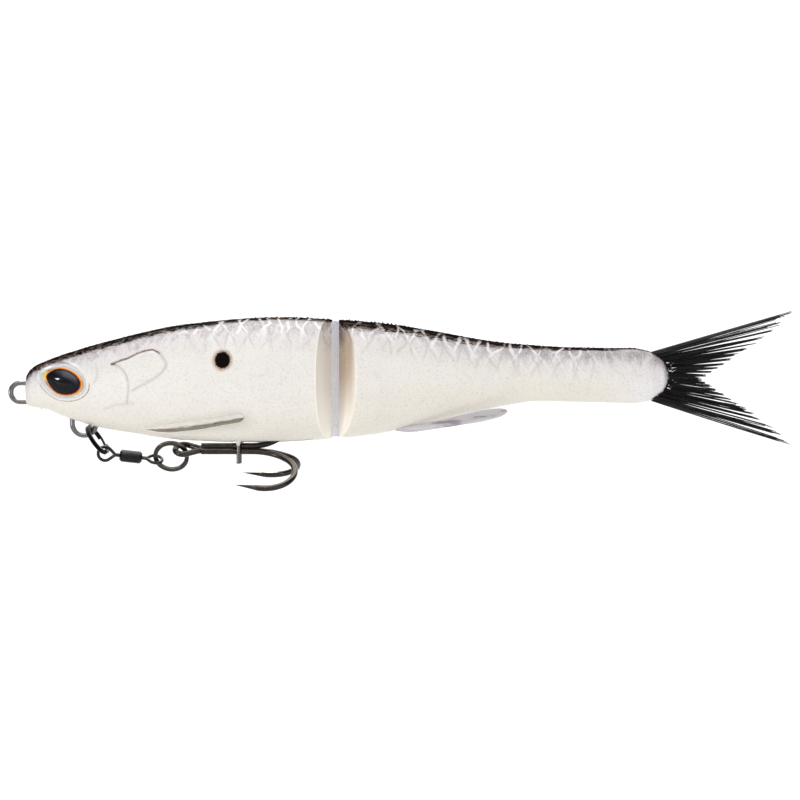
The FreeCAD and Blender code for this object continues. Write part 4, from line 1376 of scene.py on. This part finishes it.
def weave_tree():
    """Plain weave: two sets of wavy threads over a rectangle in the lure's middle plane."""
    tree = Tree(
        "weave",
        Low=("Vector", (0, 0, 0)),
        Width=("Float", 0.01),
        Height=("Float", 0.02),
        Pitch=("Float", 0.0006),
        Thread=("Float", 0.0002),
        Material=("Material", None),
    )
    low, pitch, thread = tree.given("Low"), tree.given("Pitch"), tree.given("Thread")
    join = tree.node("GeometryNodeJoinGeometry")
    for side, run, step, across in ((1, "Width", (0, 0, 1), "Height"), (-1, "Height", (1, 0, 0), "Width")):
        starts = tree.node("GeometryNodeMeshLine")
        tree.feed(starts.inputs["Count"], tree.math("FLOOR", tree.given(across) / pitch) + 1.0)
        tree.feed(starts.inputs["Start Location"], low)
        tree.feed(starts.inputs["Offset"], tree.vector_math("SCALE", step, scale=pitch))
        other = (1, 0, 0) if step[2] else (0, 0, 1)
        end = tree.vector_math("SCALE", other, scale=tree.given(run))
        threads = tree.plant(starts, end, tree.given(run) / pitch * 3.0)
        place, corner = tree.place(), tree.split(low)
        phases = [tree.math("COSINE", (place[axis] - corner[axis]) / pitch * math.pi) for axis in (0, 2)]
        lift = phases[0] * phases[1] * thread * (0.85 * side)
        rough = tree.node("ShaderNodeTexNoise", Scale=900.0)
        fuzz = tree.vector_math("SUBTRACT", rough.outputs["Color"], (0.5, 0.5, 0.5))
        fuzz = tree.vector_math("SCALE", fuzz, scale=0.75 * MM)
        offset = tree.vector_math("ADD", fuzz, tree.vector(0.0, lift, 0.0))
        moved = tree.node("GeometryNodeSetPosition", Geometry=threads, Offset=offset)
        tree.feed(join.inputs[0], tree.tube(moved, thread, 5))
    tree.finish(join)
    return tree


class SWIMBAIT_OT_cloth(bpy.types.Operator):
    """Builds the cloth strip that hinges the two bodies, and its woven threads"""

    bl_idname = "swimbait.cloth"
    bl_label = "Cloth hinge"

    def execute(self, context):
        settings = context.scene.swimbait_cloth
        width, height = settings.rear - settings.front, settings.top - settings.bottom
        web = self.web(settings, width, height)
        paint(web, cloth_material("hinge_web", (0.78, 0.76, 0.82)))
        threads = weave_tree().grow(
            "hinge_threads",
            Low=(settings.front, 0.0, settings.bottom),
            Width=width,
            Height=height,
            Pitch=settings.pitch,
            Thread=0.17 * MM,
            Material=cloth_material("hinge_thread", (0.84, 0.82, 0.88)),
        )
        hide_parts("hinge_cloth_front", "hinge_cloth_rear")
        for piece in (web, threads):
            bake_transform(piece)
        return {"FINISHED"}

    @staticmethod
    def web(settings, width, height):
        """The thin felted ground between the threads."""
        columns, rows = 44, 110
        points = [
            (settings.front + width * column / columns, 0.0, settings.bottom + height * row / rows)
            for row in range(rows + 1)
            for column in range(columns + 1)
        ]
        grid = np.array(points) / MM
        shift = 0.09 * ripple(grid, 2.2, 5)
        points = [(x, s * MM, z) for (x, _, z), s in zip(points, shift)]
        faces = []
        for row in range(rows):
            for column in range(columns):
                a = row * (columns + 1) + column
                faces.append((a, a + 1, a + columns + 2, a + columns + 1))
        web = make_object("hinge_web", points, faces)
        shell = web.modifiers.new("thickness", "SOLIDIFY")
        shell.thickness = 0.28 * MM
        shell.offset = 0
        return bake_modifiers(web)


def cloth_material(name, colour):
    """Matt nylon thread with a fine fibre grain and a little soiling."""
    shader = Shader(name)
    fibre = shader.noise(14.0, 3.0, 0.7, shader.position((1, 1, 0.3)))
    soil = shader.noise(0.5, 2.0)
    dirty = tuple(c * 0.86 for c in colour)
    shader.set(
        Base_Color=shader.mix(fibre * soil, colour, dirty),
        Roughness=shader.ramp(fibre, 0.3, 0.7, 0.6, 0.85),
        Sheen_Weight=0.6,
        Sheen_Roughness=0.5,
        Subsurface_Weight=0.1,
        Subsurface_Scale=0.5 * MM,
    )
    return shader.bump(fibre, 0.5, 0.06).material


# ---------------------------------------------------------------- metalwork


METALS = {
    "wire_harness": ("bright_wire", (0.44, 0.42, 0.41), 0.22, 0.15),
    "hook_clip": ("clip_wire", (0.36, 0.35, 0.34), 0.22, 0.15),
    "ballast_weight": ("cast_lead", (0.20, 0.21, 0.22), 0.55, 0.1),
    "chin_split_ring": ("black_ring", (0.022, 0.022, 0.024), 0.2, 0.1),
    "swivel_front_eye": ("swivel_wire", (0.09, 0.088, 0.086), 0.18, 0.3),
    "swivel_rear_eye": ("swivel_wire", (0.09, 0.088, 0.086), 0.18, 0.3),
    "swivel_barrel": ("swivel_body", (0.06, 0.06, 0.064), 0.22, 0.15),
    "hook_split_ring": ("smoked_ring", (0.15, 0.142, 0.135), 0.2, 0.25),
    "treble_hook_pair": ("hook_nickel", (0.105, 0.095, 0.088), 0.16, 0.2),
    "treble_hook_single": ("hook_nickel", (0.105, 0.095, 0.088), 0.16, 0.2),
}


class SWIMBAIT_OT_metal(bpy.types.Operator):
    """Gives the wires, rings, swivel, hook and weight their plated finishes"""

    bl_idname = "swimbait.metal"
    bl_label = "Metalwork"

    def execute(self, context):
        made = {}
        for node, (name, colour, roughness, wear) in METALS.items():
            if name not in made:
                made[name] = metal(name, colour, roughness, wear)
            paint(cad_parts[node], made[name])
        return {"FINISHED"}


# ---------------------------------------------------------------- stage


# The stage in metres: its middle along the lure, and each light's place, aim behind the lure, size and power.
STAGE_X = 0.088
LIGHTS = {
    "key": ((-0.12, -0.60, 0.42), 0, 0.60, 2.2),
    "fill": ((0.50, -0.68, 0.08), 0, 0.70, 2.1),
    "top": ((0.10, 0.02, 0.75), 0, 0.50, 0.6),
    "catch": ((-0.475, -0.475, 0.02), 0, 0.07, 1.0),
    "wall_wash": ((0.09, 0.30, 0.80), 1.1, 0.60, 9.0),
}


class SWIMBAIT_OT_stage(bpy.types.Operator):
    """Sets up the pale sweep, the soft lights and the camera"""

    bl_idname = "swimbait.stage"
    bl_label = "Stage"

    def execute(self, context):
        scene = context.scene
        self.sweep()
        for name, (place, behind, size, power) in LIGHTS.items():
            lamp = bpy.data.lights.new(name, "AREA")
            lamp.size = size
            lamp.energy = power
            thing = bpy.data.objects.new(name, lamp)
            thing.location = place
            target = Vector((STAGE_X, behind, 0))
            thing.rotation_euler = (target - Vector(place)).to_track_quat("-Z", "Y").to_euler()
            scene.collection.objects.link(thing)
        world = bpy.data.worlds.new("studio")
        world.use_nodes = True
        ground = world.node_tree.nodes["Background"]
        ground.inputs["Color"].default_value = (1, 1, 1, 1)
        ground.inputs["Strength"].default_value = 0.25
        scene.world = world
        camera = bpy.data.objects.new("camera", bpy.data.cameras.new("camera"))
        camera.data.lens = 100
        camera.data.sensor_width = 36
        camera.data.clip_start = 0.01
        camera.location = (88.5 * MM, -518 * MM, -1.8 * MM)
        camera.rotation_euler = (math.radians(90), 0, 0)
        scene.collection.objects.link(camera)
        scene.camera = camera
        scene.view_settings.view_transform = "Standard"
        return {"FINISHED"}

    @staticmethod
    def sweep():
        """A floor that curves up into a back wall."""
        low, wall, radius, reach = -0.13, 1.1, 0.5, 4.0
        profile = [(-5.0, low)]
        for step in range(25):
            turn = math.pi / 2 * step / 24
            profile.append((wall - radius + radius * math.sin(turn), low + radius - radius * math.cos(turn)))
        profile.append((wall, 1.6))
        points = [(x, y, z) for y, z in profile for x in (STAGE_X - reach, STAGE_X + reach)]
        faces = [(2 * i, 2 * i + 1, 2 * i + 3, 2 * i + 2) for i in range(len(profile) - 1)]
        floor = make_object("floor", points, faces)
        shader = Shader("pale_floor")
        shader.set(Base_Color=(0.93, 0.93, 0.93), Roughness=0.9)
        paint(floor, shader.material)


# ---------------------------------------------------------------- panel and registration


class SWIMBAIT_PT_panel(bpy.types.Panel):
    """Lists the swimbait's settings and builders"""

    bl_idname = "SWIMBAIT_PT_panel"
    bl_label = "Swimbait"
    bl_space_type = "VIEW_3D"
    bl_region_type = "UI"
    bl_category = "Swimbait"

    def draw(self, context):
        for name in SETTINGS:
            group = getattr(context.scene, name)
            box = self.layout.box()
            for key in group.bl_rna.properties.keys():
                if key not in ("rna_type", "name"):
                    box.prop(group, key)
        for operator in OPERATORS:
            self.layout.operator(operator.bl_idname)


SETTINGS = {
    "swimbait_body": SwimbaitBodySettings,
    "swimbait_eye": SwimbaitEyeSettings,
    "swimbait_tail": SwimbaitTailSettings,
    "swimbait_cloth": SwimbaitClothSettings,
}
OPERATORS = (
    SWIMBAIT_OT_stage,
    SWIMBAIT_OT_metal,
    SWIMBAIT_OT_front_body,
    SWIMBAIT_OT_rear_body,
    SWIMBAIT_OT_eyes,
    SWIMBAIT_OT_fins,
    SWIMBAIT_OT_cloth,
    SWIMBAIT_OT_tail,
)


def register():
    for name, group in SETTINGS.items():
        bpy.utils.register_class(group)
        setattr(bpy.types.Scene, name, bpy.props.PointerProperty(type=group))
    for operator in OPERATORS:
        bpy.utils.register_class(operator)
    bpy.utils.register_class(SWIMBAIT_PT_panel)


def unregister():
    bpy.utils.unregister_class(SWIMBAIT_PT_panel)
    for operator in reversed(OPERATORS):
        bpy.utils.unregister_class(operator)
    for name, group in SETTINGS.items():
        delattr(bpy.types.Scene, name)
        bpy.utils.unregister_class(group)


def main():
    """Builds every piece in order."""
    register()
    for operator in OPERATORS:
        section, action = operator.bl_idname.split(".")
        getattr(getattr(bpy.ops, section), action)()
    bpy.context.view_layer.update()


if __name__ == "__main__":
    main()
